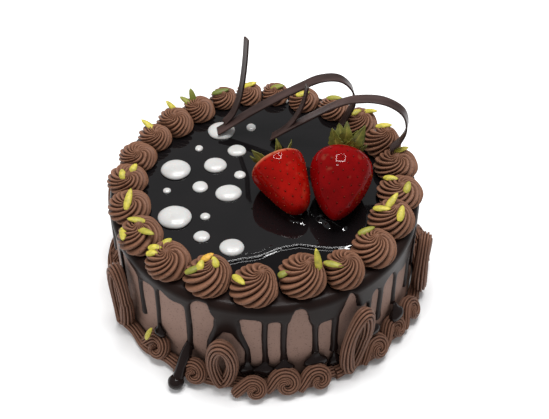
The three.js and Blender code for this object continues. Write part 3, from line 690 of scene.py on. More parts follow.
@dataclass
class GlazeCoat:
    """The glaze down the side: a band with a wavy hem and the drips that run from it."""

    columns: int = 960
    band_bottom: float = 65.3
    thickness: float = 1.6
    rounding: float = 2.3
    hidden: float = 0.45
    # azimuth, lower end, width, funnel
    drips: tuple[tuple[float, float, float, float], ...] = (
        (205, 24, 4.2, 16),
        (219.5, 22, 4, 18),
        (228.4, 16, 3.6, 17),
        (242.2, 16, 4.4, 24),
        (270.3, 16, 3.8, 14),
        (277, 17, 4.2, 14),
        (288.5, 19, 4.2, 22),
        (296.1, 16, 5.2, 18),
        (310.5, 16, 3.8, 16),
        (316.5, 22, 4.6, 20),
        (325.8, 22, 4, 20),
        (337.5, 18, 4.2, 18),
        (345, 26, 3.6, 10),
        (353, 24, 4, 12),
    )
    # azimuth and height of the hem between the drips
    hem: tuple[tuple[float, float], ...] = (
        (199, 65), (205, 63), (212, 61.5), (221, 58), (226, 59.5), (230.6, 61.5), (236, 58),
        (241, 60.5), (245.2, 66.5), (250, 66.5), (252, 58.5), (257, 54), (261, 59.5),
        (267.6, 59.7), (272, 58), (275, 58), (278.6, 57.5), (280, 64.2), (281.4, 66.4),
        (283.4, 66.4), (285, 63), (286.5, 52.5), (290.6, 50.5), (293.6, 50.5), (298, 56),
        (299.6, 63), (301, 66), (302.6, 65.5), (304, 60), (304.8, 52), (306.5, 49.5),
        (309.5, 51), (312.5, 56), (318, 55.5), (322.7, 57.5), (327, 51), (331, 48), (335, 51),
        (339, 63), (343, 65), (349, 65), (355, 65), (359, 65.5),
    )
    hem_reach: float = 6.0
    blend: float = 2.2
    back_from: float = 4
    back_to: float = 196
    back_spacing: float = 13.5
    back_wander: float = 2.6
    back_low: float = 16
    back_high: float = 34
    back_width: float = 4.0
    bulb_share: float = 1.22  # width of a drip's end over the drip's own
    funnel_blend: float = 0.16  # how much a taller funnel softens where the drip leaves the band
    unrolled_top: float = 71.3  # height at which the unrolled wall goes on over the top
    parted_azimuth: float = 257.0
    parted_ends: tuple[float, float] = (22, 16)
    finish: GlazeFinish = GlazeFinish(
        "glaze_side", (0.009, 0.0048, 0.004), (0.014, 0.008, 0.0068), 0.3, 0.0002, 0.09
    )

    def all_drips(self) -> list[tuple[float, float, float, float]]:
        """Returns the drips that show and the ones round the back."""
        rows = list(self.drips)
        middle = (self.back_high + self.back_low) / 2
        half = (self.back_high - self.back_low) / 2
        for n, azimuth in enumerate(np.arange(self.back_from, self.back_to, self.back_spacing)):
            end = middle + half * math.sin(2.4 * n)
            at = azimuth + self.back_wander * math.sin(1.7 * n)
            rows.append((at, end, self.back_width, 9 + 4 * math.sin(3.1 * n)))
        return rows

    def parted(self) -> list[list[tuple[float, float, float]]]:
        """Returns the strokes of the drip that parts over a tall loop."""
        sides = []
        for side, end in zip((-1, 1), self.parted_ends):
            sides.append(
                [
                    (side * 3.2, 52.5, 4.6),
                    (side * 6.0, 45.0, 3.2),
                    (side * 9.2, 37.5, 2.4),
                    (side * 11.4, 31.5, 1.9),
                    (side * 12.0, 27.0, 1.8),
                    (side * 12.0, end + 2.1, 2.1),
                ]
            )
        return [[(0, 69, 11), (0, 57, 7.6), (0, 53, 7.8)], *sides]

    def inside(self, azimuth: np.ndarray, height: np.ndarray) -> np.ndarray:
        """How far points of the unrolled wall lie inside the glaze.

        Args:
            azimuth: their azimuths in degrees.
            height: their heights, counted on past the edge of the top.

        Returns:
            Distances to the hem, positive in the glaze.
        """
        waves = 0.9 * np.sin(np.radians(azimuth * 7)) + 0.5 * np.sin(np.radians(azimuth * 17 + 40))
        knots = smooth_line(list(self.hem), 400)
        share = np.clip((azimuth - knots[0, 0]) / self.hem_reach, 0, 1)
        share = share * np.clip((knots[-1, 0] - azimuth) / self.hem_reach, 0, 1)
        seen = np.interp(azimuth, knots[:, 0], knots[:, 1])
        depth = height - (self.band_bottom + waves) * (1 - share) - seen * share
        arc = math.radians(CAKE_RADIUS)
        for at, end, width, funnel in self.all_drips():
            u = ((azimuth - at + 180) % 360 - 180) * arc
            half = width / 2
            sway = 0.35 * np.sin(height / 9 + at)
            bulb = half * self.bulb_share
            line = [(0, 70, half), (0, end + 9, half * 0.92), (0, end + bulb, bulb)]
            soft = self.blend + funnel * self.funnel_blend
            depth = smooth_max(depth, stroke(u - sway, height, line), soft)
        u = ((azimuth - self.parted_azimuth + 180) % 360 - 180) * arc
        for line in self.parted():
            depth = smooth_max(depth, stroke(u, height, line), self.blend)
        return depth

    def base(self) -> np.ndarray:
        """Returns rows of radius, height, outward share, upward share and unrolled height."""
        top = CAKE_HEIGHT - EDGE_ROUND
        inner = CAKE_RADIUS - EDGE_ROUND
        over = self.unrolled_top + inner
        rows = [(r, CAKE_HEIGHT, 0.0, 1.0, over - r) for r in np.linspace(84, 92, 5)]
        for turn in np.radians(np.linspace(90, 0, 10)):
            c, s = math.cos(turn), math.sin(turn)
            z = top + EDGE_ROUND * s
            rows.append((inner + EDGE_ROUND * c, z, c, s, top + EDGE_ROUND * turn))
        rows += [(CAKE_RADIUS, z, 1.0, 0.0, z) for z in np.arange(top - 0.8, 6, -0.8)]
        return np.array(rows)

    def build(self) -> bpy.types.Object:
        """Builds the coat as a closed skin.

        Returns:
            The finished piece.
        """
        base = self.base()
        piece, along, down = grid(self.columns, len(base) - 1, "glaze_side")
        row = np.rint((1 - down) * (len(base) - 1)).astype(int)
        azimuth = along * 360
        height = base[row, 4]
        depth = self.inside(azimuth, height)
        step = 0.05
        arc = math.radians(CAKE_RADIUS)
        du = (self.inside(azimuth + step / arc, height) - depth) / step
        dz = (self.inside(azimuth, height + step) - depth) / step
        steep = np.maximum(du * du + dz * dz, 0.2)
        near = (np.abs(depth) < 0.42) & (height < 68)
        pull = np.where(near, -depth / steep, 0)
        azimuth = azimuth + pull * du / arc
        moved = height + pull * dz
        depth = np.where(near, 0.0, depth)
        z = base[row, 1] + np.where(near, moved - height, 0)
        full = self.thickness + 0.25 * np.clip((40 - height) / 30, 0, 1)
        share = np.clip(depth / self.rounding, 0, 1)
        lift = np.where(depth > 0, full * np.sqrt(1 - (1 - share) ** 2), np.maximum(depth, -0.6))
        out, up = base[row, 2], base[row, 3]
        outer = polar(base[row, 0] + lift * out, azimuth, z + lift * up)
        inner = polar(base[row, 0] - self.hidden * out, azimuth, z - self.hidden * up)
        move_points(piece, outer * MM)
        self.trim(piece, depth)
        kept = self.kept
        count = len(piece.data.vertices)
        apply_modifier(piece, "SOLIDIFY", thickness=0.5 * MM, offset=-1.0, use_rim=True)
        points = points_of(piece)
        points[:count] = outer[kept] * MM
        points[count : 2 * count] = inner[kept] * MM
        move_points(piece, points)
        face_outwards(piece)
        smooth(piece, 60)
        hand_over(piece, self.finish.build(), ["glaze"])
        return piece

    def trim(self, piece: bpy.types.Object, depth: np.ndarray) -> None:
        """Cuts away the quads that lie wholly on bare cream and keeps the list of what is left.

        Args:
            piece: the sheet.
            depth: how far each vertex lies inside the glaze.
        """
        activate(piece)
        bpy.ops.object.mode_set(mode="EDIT")
        bpy.ops.mesh.select_all(action="DESELECT")
        bpy.ops.object.mode_set(mode="OBJECT")
        corners = np.zeros(len(piece.data.loops), int)
        piece.data.loops.foreach_get("vertex_index", corners)
        bare = (depth[corners.reshape(-1, 4)] < -0.02).all(1)
        piece.data.polygons.foreach_set("select", bare)
        used = np.unique(corners.reshape(-1, 4)[~bare])
        self.kept = used
        bpy.ops.object.mode_set(mode="EDIT")
        bpy.ops.mesh.select_mode(type="FACE")
        bpy.ops.object.mode_set(mode="OBJECT")
        piece.data.polygons.foreach_set("select", bare)
        bpy.ops.object.mode_set(mode="EDIT")
        bpy.ops.mesh.delete(type="FACE")
        bpy.ops.mesh.select_mode(type="VERT")
        bpy.ops.object.mode_set(mode="OBJECT")


@dataclass
class GlazeTop:
    """The mirror on top: gel with a raised front edge and puddles round what stands in it."""

    columns: int = 360
    rings: int = 100
    reach: float = 90.0
    # middle line of the raised edge, left to right
    edge: tuple[tuple[float, float], ...] = (
        (-60, -66), (-36, -64.5), (-22.7, -62.4), (-13.8, -60), (-8.4, -59.2), (-2.5, -57.7),
        (3.5, -54.5), (8.3, -51.8), (15.6, -49.7), (21.6, -48.6), (27.6, -49.7), (34.9, -50.9),
        (42.1, -51.3), (50.6, -50.2), (64, -45),
    )
    inner_edge: tuple[tuple[float, float], ...] = (
        (-16, -56.2), (-11.5, -55.6), (-7.3, -55.6), (-2.5, -54), (1.1, -51.8), (4.7, -49.8),
    )
    # x, y, radius, height of the puddles
    puddles: tuple[tuple[float, float, float, float], ...] = (
        (19.0, -26.0, 5.5, 1.8),
        (23.0, -29.5, 3.2, 1.0),
        (13.5, -22.0, 3.4, 1.0),
        (36.0, -27.0, 4.0, 1.3),
        (42.0, -30.5, 6.5, 2.1),
        (48.0, -34.0, 3.6, 1.2),
    )
    # beads where the gel climbs the fruit
    feet: tuple[tuple[tuple[float, float], ...], ...] = (
        ((11.6, -14.2), (12.9, -17.6), (14.7, -22.3), (17.8, -26.4), (21.6, -29.3)),
        ((34.2, -22.4), (35.3, -25.2), (37.8, -28.2), (41.1, -30.2), (44.6, -32.6), (48, -35)),
        ((27.6, -19.2), (29.2, -22.6), (31.6, -25)),
    )
    lip_height: float = 0.75
    lip_width: float = 1.0
    bead: float = 0.85
    ripple: float = 0.16
    sunk: float = 0.4  # how far the gel before the raised edge lies under the glaze's level
    finish: GlazeFinish = GlazeFinish(
        "glaze_mirror", (0.0035, 0.003, 0.0033), (0.005, 0.0042, 0.0045), 0.045, 0.00004
    )

    def relief(self, x: np.ndarray, y: np.ndarray) -> np.ndarray:
        """Height of the gel over the level of the glaze.

        Args:
            x: first coordinates.
            y: second coordinates.

        Returns:
            Heights in millimetres.
        """
        line = smooth_line(list(self.edge), 200)
        front = np.interp(x, line[:, 0], line[:, 1])
        ahead = front - y
        step = 0.5 + 0.5 * np.tanh(-ahead / self.lip_width)
        bead = np.exp(-(((ahead + 0.6) / self.lip_width) ** 2))
        gate = np.clip((x + 34) / 12, 0, 1) * np.clip((66 - x) / 10, 0, 1)
        height = gate * self.lip_height * (step + 0.35 * bead) + (1 - gate) * 0.4
        second = smooth_line(list(self.inner_edge), 60)
        gap = np.full(x.shape, 1e3)
        for u, v in second[::2]:
            gap = np.minimum(gap, np.hypot(x - u, y - v))
        height = height + 0.3 * np.exp(-((gap / self.lip_width) ** 2))
        for u, v, radius, tall in self.puddles:
            away = np.hypot(x - u, y - v) / radius
            height = height + tall * np.clip(1 - away**2, 0, 1) ** 1.5
        return height

    def build(self) -> bpy.types.Object:
        """Builds the mirror.

        Returns:
            The finished piece.
        """
        outer = [(self.reach, CAKE_HEIGHT - 0.3), (self.reach, CAKE_HEIGHT + 0.8)]
        spread = np.linspace(self.reach, 0, self.rings)
        rows = outer + [(r, GLAZE_TOP) for r in spread[1:]]
        piece = ring_lofted(self.columns, [(r * MM, z * MM) for r, z in rows], "glaze_top")
        points = points_of(piece) / MM
        top = points[:, 2] > CAKE_HEIGHT + 0.5
        fade = np.clip((88 - np.hypot(points[:, 0], points[:, 1])) / 10, 0, 1)
        raised = self.relief(points[:, 0], points[:, 1]) * fade
        line = smooth_line(list(self.edge), 200)
        ahead = np.interp(points[:, 0], line[:, 0], line[:, 1]) - points[:, 1]
        dull = np.clip((ahead - 0.3) / 1.5, 0, 1)
        waves = np.array(
            [noise.noise(Vector((x * 0.045, y * 0.045, 3.1))) for x, y, _ in points]
        )
        points[:, 2] += np.where(top, raised - self.sunk + self.ripple * waves * fade, 0)
        move_points(piece, points * MM)
        piece.data.attributes.new("dull", "FLOAT", "POINT").data.foreach_set("value", dull)
        smooth(piece, 50)
        material = self.finish.build()
        hand_over(piece, material, [])
        routes = (self.edge[1:-1], self.inner_edge, *self.feet)
        beads = [self.lip(route, f"lip_{i}") for i, route in enumerate(routes)]
        lips = joined(beads, "glaze_lips")
        smooth(lips)
        hand_over(lips, material, [])
        return piece

    def lip(self, route: tuple[tuple[float, float], ...], name: str) -> bpy.types.Object:
        """A fine bead of gel that follows an edge and thins out at both ends.

        Args:
            route: points of its middle line.
            name: the piece's name.

        Returns:
            The bead, in metres.
        """
        line = smooth_line(list(route), 150 if len(route) > 6 else 40)
        share = np.linspace(0, 1, len(line))
        swell = 0.75 + 0.25 * np.sin(share * 31) * np.sin(share * 12.7)
        radius = self.bead * swell * np.minimum(1, 0.25 + 6 * np.minimum(share, 1 - share))
        height = GLAZE_TOP + 0.1 + np.maximum(self.relief(line[:, 0], line[:, 1]) - 1, 0)
        rows = np.column_stack([line, height, radius])
        return Rope(rows, ridges=0, columns=16).build(name)


@dataclass
class GlazePools:
    """Glaze that ran over the border: the spill with its drop, and pools on the curls."""

    spill_azimuth: float = 241.9
    # azimuth, distance from the axis, height, sizes along the wall, outward and up, and the
    # azimuth of the drip that runs into it
    pools: tuple[tuple[float, ...], ...] = (
        (229.4, 99.6, 21.5, 4.6, 2.6, 6.0, 228.4),
        (264.0, 99.4, 14.5, 5.0, 2.4, 7.5, 264.0),
        (269.8, 99.8, 15.5, 7.0, 2.8, 6.5, 270.3),
        (277.0, 100.0, 17.0, 6.6, 2.8, 6.5, 277.0),
        (288.4, 100.0, 17.5, 8.0, 3.0, 8.0, 288.5),
        (295.9, 99.6, 11.5, 5.0, 2.4, 7.5, 296.1),
        (312.0, 101.2, 23.5, 5.2, 2.8, 6.5, 310.5),
        (324.4, 102.6, 19.5, 6.4, 3.8, 7.0, 325.8),
    )
    wall_reach: float = 98.2
    # distance from the axis, height, radius
    spill_route: tuple[tuple[float, float, float], ...] = (
        (97.7, 25.5, 1.3),
        (98.9, 22, 2.6),
        (101.4, 18, 3.6),
        (105.4, 14, 3.6),
        (109.6, 9.6, 3.4),
        (112.8, 6, 3.6),
    )
    # distance from the axis, height, sizes along the wall, outward and up
    spill_drop: tuple[float, ...] = (115.3, 4.4, 5.1, 5.2, 4.5)
    finish: GlazeFinish = GlazeFinish(
        "glaze_pool", (0.009, 0.005, 0.0045), (0.014, 0.0085, 0.0075), 0.2, 0.0001, 0.18
    )

    def drop(self) -> bpy.types.Object:
        """Returns the unit drop that ends the spill."""
        rows = [(math.cos(t), math.sin(t)) for t in np.radians(np.linspace(-80, 80, 13))]
        return ring_lofted(24, [*rows, (0.0, 1.0)], "drop_master")

    def foot(self) -> bpy.types.Object:
        """Returns the unit pool: wide and low, drawn up to a point where a drip runs in."""
        rows = [(0.8, -0.6), (0.95, -0.45), (1.0, -0.25), (0.97, -0.1), (0.9, 0.02), (0.8, 0.12)]
        rows += [(0.68, 0.2), (0.55, 0.29), (0.43, 0.4), (0.33, 0.53), (0.26, 0.68), (0.2, 0.84)]
        return ring_lofted(40, [*rows, (0.0, 1.0)], "foot_master")

    def placed(
        self, master: bpy.types.Object, row: tuple[float, ...], drip: float | None
    ) -> bpy.types.Object:
        """One pool.

        Args:
            master: the unit drop or the unit pool.
            row: its azimuth, distance, height and three sizes.
            drip: azimuth of the drip that its top is drawn to, if any.

        Returns:
            The placed copy.
        """
        azimuth, radius, z, wide, deep, tall = row
        piece = copy_of(master, "pool")
        unit = points_of(piece)
        wobble = np.array([noise.noise(Vector(p) * 1.3 + Vector((azimuth, 0, 0))) for p in unit])
        unit = unit * (1 + 0.1 * wobble)[:, None]
        turn = math.radians(azimuth)
        out = np.array([math.cos(turn), math.sin(turn), 0])
        side = np.array([-math.sin(turn), math.cos(turn), 0])
        middle = np.array([*(out[:2] * radius), z])
        high = unit[:, 2:3]
        points = middle + unit[:, :1] * side * wide + unit[:, 1:2] * deep * out
        points = points + high * np.array([0, 0, tall])
        if drip is not None:
            at = math.radians(drip)
            pull = self.wall_reach * np.array([math.cos(at), math.sin(at)]) - middle[:2]
            points[:, :2] += np.clip(high, 0, 1) ** 1.2 * pull
        points[:, 2] = np.maximum(points[:, 2], 0.05)
        move_points(piece, points * MM)
        return piece

    def build(self) -> None:
        """Builds the spill and the pools as two pieces."""
        master = self.drop()
        low = self.foot()
        pools = joined([self.placed(low, row[:-1], row[-1]) for row in self.pools], "glaze_pools")
        smooth(pools)
        material = self.finish.build()
        hand_over(pools, material, [])
        at = self.spill_azimuth
        rope = Rope(smooth_line(self.spill_line(), 34), ridges=0)
        stream = rope.build("spill_stream")
        bulb = self.placed(master, (at, *self.spill_drop), None)
        spill = joined([stream, bulb], "glaze_spill_run")
        smooth(spill)
        hand_over(spill, material, ["glaze_spill"])
        bpy.data.objects.remove(master)
        bpy.data.objects.remove(low)

    def spill_line(self) -> list[tuple[float, ...]]:
        """Returns the spill's path as x, y, z and radius."""
        turn = math.radians(self.spill_azimuth)
        return [(r * math.cos(turn), r * math.sin(turn), z, w) for r, z, w in self.spill_route]


# ---------------------------------------------------------------------------------------------
# Piping
# ---------------------------------------------------------------------------------------------


@dataclass
class Rope:
    """A piped rope with a star section that follows a line of x, y, z and radius."""

    line: np.ndarray
    ridges: int = 11
    columns: int = 66
    valley: float = 0.38
    roll: float = 0.0

    def section(self) -> np.ndarray:
        """Returns the star as shares of the radius."""
        turn = np.linspace(0, 2 * math.pi, self.columns, endpoint=False)
        if self.ridges:
            crest = np.abs(np.sin(turn * self.ridges / 2)) ** 0.65
        else:
            crest = np.ones(self.columns)
        radius = 1 - self.valley * (1 - crest)
        return np.stack([radius * np.cos(turn), radius * np.sin(turn)], -1)

    def build(self, name: str) -> bpy.types.Object:
        """Builds the rope from a curve and its star section.

        Args:
            name: the piece's name.

        Returns:
            The mesh object, in metres.
        """
        star = self.section()
        profile = bpy.data.curves.new(name + "_star", "CURVE")
        ring = profile.splines.new("POLY")
        ring.points.add(len(star) - 1)
        for point, (x, y) in zip(ring.points, star):
            point.co = (x * MM, y * MM, 0, 1)
        ring.use_cyclic_u = True
        tool = bpy.data.objects.new(name + "_star", profile)
        bpy.context.scene.collection.objects.link(tool)
        curve = bpy.data.curves.new(name, "CURVE")
        curve.dimensions = "3D"
        curve.twist_mode = "MINIMUM"
        curve.bevel_mode = "OBJECT"
        curve.bevel_object = tool
        curve.use_fill_caps = True
        path = curve.splines.new("POLY")
        path.points.add(len(self.line) - 1)
        for point, (x, y, z, radius) in zip(path.points, self.line):
            point.co = (x * MM, y * MM, z * MM, 1)
            point.radius = radius
            point.tilt = self.roll
        piece = bpy.data.objects.new(name, curve)
        bpy.context.scene.collection.objects.link(piece)
        activate(piece)
        bpy.ops.object.convert(target="MESH")
        piece = bpy.context.active_object
        bpy.data.objects.remove(tool)
        face_outwards(piece)
        self.mark_valleys(piece)
        return piece

    def mark_valleys(self, piece: bpy.types.Object) -> None:
        """Writes how deep in a valley each vertex lies, from 0 to 1, for the cream's painted shade.
        """
        points = points_of(piece) / MM
        middles = self.line[:, :3]
        away = np.linalg.norm(points[:, None, :] - middles[None, :, :], axis=2)
        near = away.argmin(axis=1)
        share = away[np.arange(len(points)), near] / self.line[near, 3]
        deep = np.clip((1 - share) / self.valley, 0, 1)
        if not self.ridges:
            deep = np.zeros(len(points))
        piece.data.attributes.new("valley", "FLOAT", "POINT").data.foreach_set("value", deep)


@dataclass
class RosetteRing:
    """The ring of piped rosettes on the rim."""

    # azimuth, distance from the axis, half width, height, and where the eye sits off the middle
    rows: tuple[tuple[float, ...], ...] = (
        (266, 84.5, 14, 15.5, 5.4, 2.5),
        (286, 80.5, 14.5, 17, 3.8, 0.4),
        (302.5, 86, 12.5, 16.5, 2.5, -0.3),
        (320, 85.5, 13.5, 14.5, 1.4, 1.1),
        (338, 84, 14, 15.5, 2.6, 0.4),
        (355, 85.5, 14, 12.5, 1.1, -1.1),
        (11, 86, 13.5, 13.5, 0, -0.8),
        (26, 85.5, 12, 14.5, 3.6, 1.5),
        (42.5, 85, 12, 12.5, 1.9, -0.5),
        (57.5, 86.5, 10.5, 10.5, 1, -1),
        (72, 86, 10.5, 11, 0, -2),
        (85.5, 88, 9.5, 10.5, 0, -2),
        (97, 88.5, 9.5, 10.5, 0, -2),
        (108.5, 88, 9.3, 10.5, 0, -2),
        (122, 84.5, 11, 12, 0, -3),
        (136, 83, 12, 13.5, 0, -3),
        (149, 84.5, 11, 12, 2, -3),
        (163, 86, 12, 12, 0.6, -3.5),
        (177.5, 87, 12.5, 12.5, 1, -4),
        (193.5, 86, 13, 13, 1.3, -1.7),
        (211, 87, 13.5, 15, -0.8, 0.3),
        (229, 86.5, 13.5, 15, -0.5, -0.7),
        (247, 83.5, 14, 15, 3.1, 3.1),
    )
    ridges: int = 12
    columns: int = 120
    rings: int = 44
    crest: float = 0.05
    valley: float = 0.25
    twist: float = 165.0
    hook: float = 0.6
    equator: float = 0.28
    lowest: float = -42.0
    base: float = SEAT - 0.9
    finish: CreamFinish = CreamFinish(
        "mocha_piped", (0.16, 0.074, 0.043), (0.196, 0.093, 0.055), (0.085, 0.04, 0.024), 0.3, 0.5
    )

    def wedge(self, i: int) -> tuple[float, float]:
        """Returns the azimuths of both sides of the wedge that rosette i fills."""
        azimuth, _, half = self.rows[i][:3]
        before, _, half_before = self.rows[i - 1][:3]
        after, _, half_after = self.rows[(i + 1) % len(self.rows)][:3]
        back = (azimuth - before) % 360
        ahead = (after - azimuth) % 360
        start = azimuth - back * half / (half + half_before)
        return start, azimuth + ahead * half / (half + half_after)

    def rise(self, turn: np.ndarray) -> np.ndarray:
        """Returns the height share at an angle over the widest ring, in degrees."""
        above = self.equator + (1 - self.equator) * np.sin(np.radians(turn))
        lowest = math.sin(math.radians(-self.lowest))
        below = self.equator * (1 + np.sin(np.radians(turn)) / lowest)
        return np.where(turn > 0, above, below)

    def top_at(self, i: int, out: float, along: float) -> Vector:
        """Returns the point of rosette i's surface over a place off its middle.

        Args:
            i: the rosette.
            out: millimetres outward from its middle.
            along: millimetres anticlockwise from its middle.

        Returns:
            The point in millimetres.
        """
        azimuth, distance, half, height, eye_x, eye_y = self.rows[i]
        turn = math.radians(azimuth) + along / distance
        far = distance + out
        at = np.array([far * math.cos(turn), far * math.sin(turn)])
        middle = math.radians(azimuth)
        off = (at - distance * np.array([math.cos(middle), math.sin(middle)])) / half
        eye = np.array([eye_x, eye_y]) / half
        share = 0.5
        for _ in range(24):
            share = min(float(np.linalg.norm(off - eye * (1 - share))), 1.0)
        slope = math.degrees(math.acos(share ** (1 / 0.9)))
        z = self.base + float(self.rise(np.array(slope))) * height
        return Vector((*at, z))

    def master(self) -> bpy.types.Object:
        """Models one rosette of half width 1 and height 1, its ridges carved along the turn.

        Returns:
            The master object.
        """
        turns = np.linspace(self.lowest, 86, self.rings)
        rows = [
            (math.cos(math.radians(t)) ** 0.9, float(z)) for t, z in zip(turns, self.rise(turns))
        ]
        piece = ring_lofted(self.columns, [*rows, (0.0, 1.0)], "rosette_master")
        points = points_of(piece)
        angle = np.degrees(np.arctan2(points[:, 1], points[:, 0]))
        radius = np.hypot(points[:, 0], points[:, 1])
        heights = np.array([z for _, z in rows])
        turn = np.interp(points[:, 2], heights, turns)
        slope = np.radians(turn)
        swirl = self.twist * ((90 - turn) / 90) ** self.hook
        phase = np.radians(angle * self.ridges / 2)
        wander = 0.5 * np.sin(np.radians(angle * 2 + 30)) + 0.35 * np.sin(np.radians(angle * 3))
        crest = np.abs(np.sin(phase + wander)) ** 0.6
        depth = (self.crest - (self.crest + self.valley) * (1 - crest)) * np.minimum(
            1, 0.12 + radius
        )
        depth = np.where(radius < 0.02, 0, depth)
        radius = np.maximum(radius + depth * np.cos(slope), 0.001)
        rise = points[:, 2] + depth * np.sin(np.maximum(slope, 0))
        peak = 0.13 * np.exp(-((radius / 0.17) ** 2))
        dip = 0.06 * np.exp(-(((radius - 0.3) / 0.1) ** 2))
        rise = rise + (peak - dip)
        way = np.radians(angle - swirl)
        moved = np.stack([radius * np.cos(way), radius * np.sin(way), np.maximum(rise, 0)], -1)
        moved[points[:, 2] < 1e-6, 2] = 0
        move_points(piece, moved)
        # painted shade: how far each valley between the ridges is darkened, less so near the middle
        deep = (1 - crest) * np.clip(radius / 0.3, 0.3, 1)
        piece.data.attributes.new("valley", "FLOAT", "POINT").data.foreach_set("value", deep)
        return piece

    def pressed(self, points: np.ndarray, start: float, stop: float) -> np.ndarray:
        """Presses points softly into the wedge between two neighbours.

        Args:
            points: rows of x, y and z.
            start: azimuth of the wedge's first side.
            stop: azimuth of its second side.

        Returns:
            The moved points.
        """
        radius = np.hypot(points[:, 0], points[:, 1])
        middle = (start + stop) / 2
        azimuth = np.degrees(np.arctan2(points[:, 1], points[:, 0]))
        off = np.radians((azimuth - middle + 180) % 360 - 180) * radius
        limit = np.radians(stop - start) / 2 * radius - 0.05
        soft = 1.6
        over = np.maximum(np.abs(off) - (limit - soft), 0)
        held = np.minimum(np.abs(off), limit - soft) + soft * (1 - np.exp(-over / soft))
        return polar(radius, middle + np.degrees(np.sign(off) * held / radius), points[:, 2])

    def build(self) -> list[bpy.types.Object]:
        """Builds the ring.

        Returns:
            One piece for each rosette.
        """
        master = self.master()
        unit = points_of(master)
        material = self.finish.build()
        chance = random.Random(7)
        pieces = []
        for i, (azimuth, distance, half, height, *eye) in enumerate(self.rows):
            piece = copy_of(master, f"rosette_swirl_{i + 1:02d}")
            spin = chance.uniform(0, 2 * math.pi)
            seed = Vector((i * 3.7, 0, 0))
            wobble = np.array([noise.noise(Vector(p) * 1.6 + seed) for p in unit])
            points = unit.copy()
            points[:, 0] = unit[:, 0] * math.cos(spin) - unit[:, 1] * math.sin(spin)
            points[:, 1] = unit[:, 0] * math.sin(spin) + unit[:, 1] * math.cos(spin)
            points[:, :2] *= ((1 + 0.05 * wobble) * half)[:, None]
            points[:, 2] *= (1 + 0.04 * wobble) * height
            inward = np.clip(1 - np.hypot(unit[:, 0], unit[:, 1]), 0, 1)
            points[:, :2] += np.outer(inward, eye)
            turn = math.radians(azimuth)
            points += (distance * math.cos(turn), distance * math.sin(turn), self.base)
            move_points(piece, self.pressed(points, *self.wedge(i)) * MM)
            smooth(piece, 75)
            hand_over(piece, material, [f"rosette_{i + 1:02d}"])
            pieces.append(piece)
        bpy.data.objects.remove(master)
        return pieces


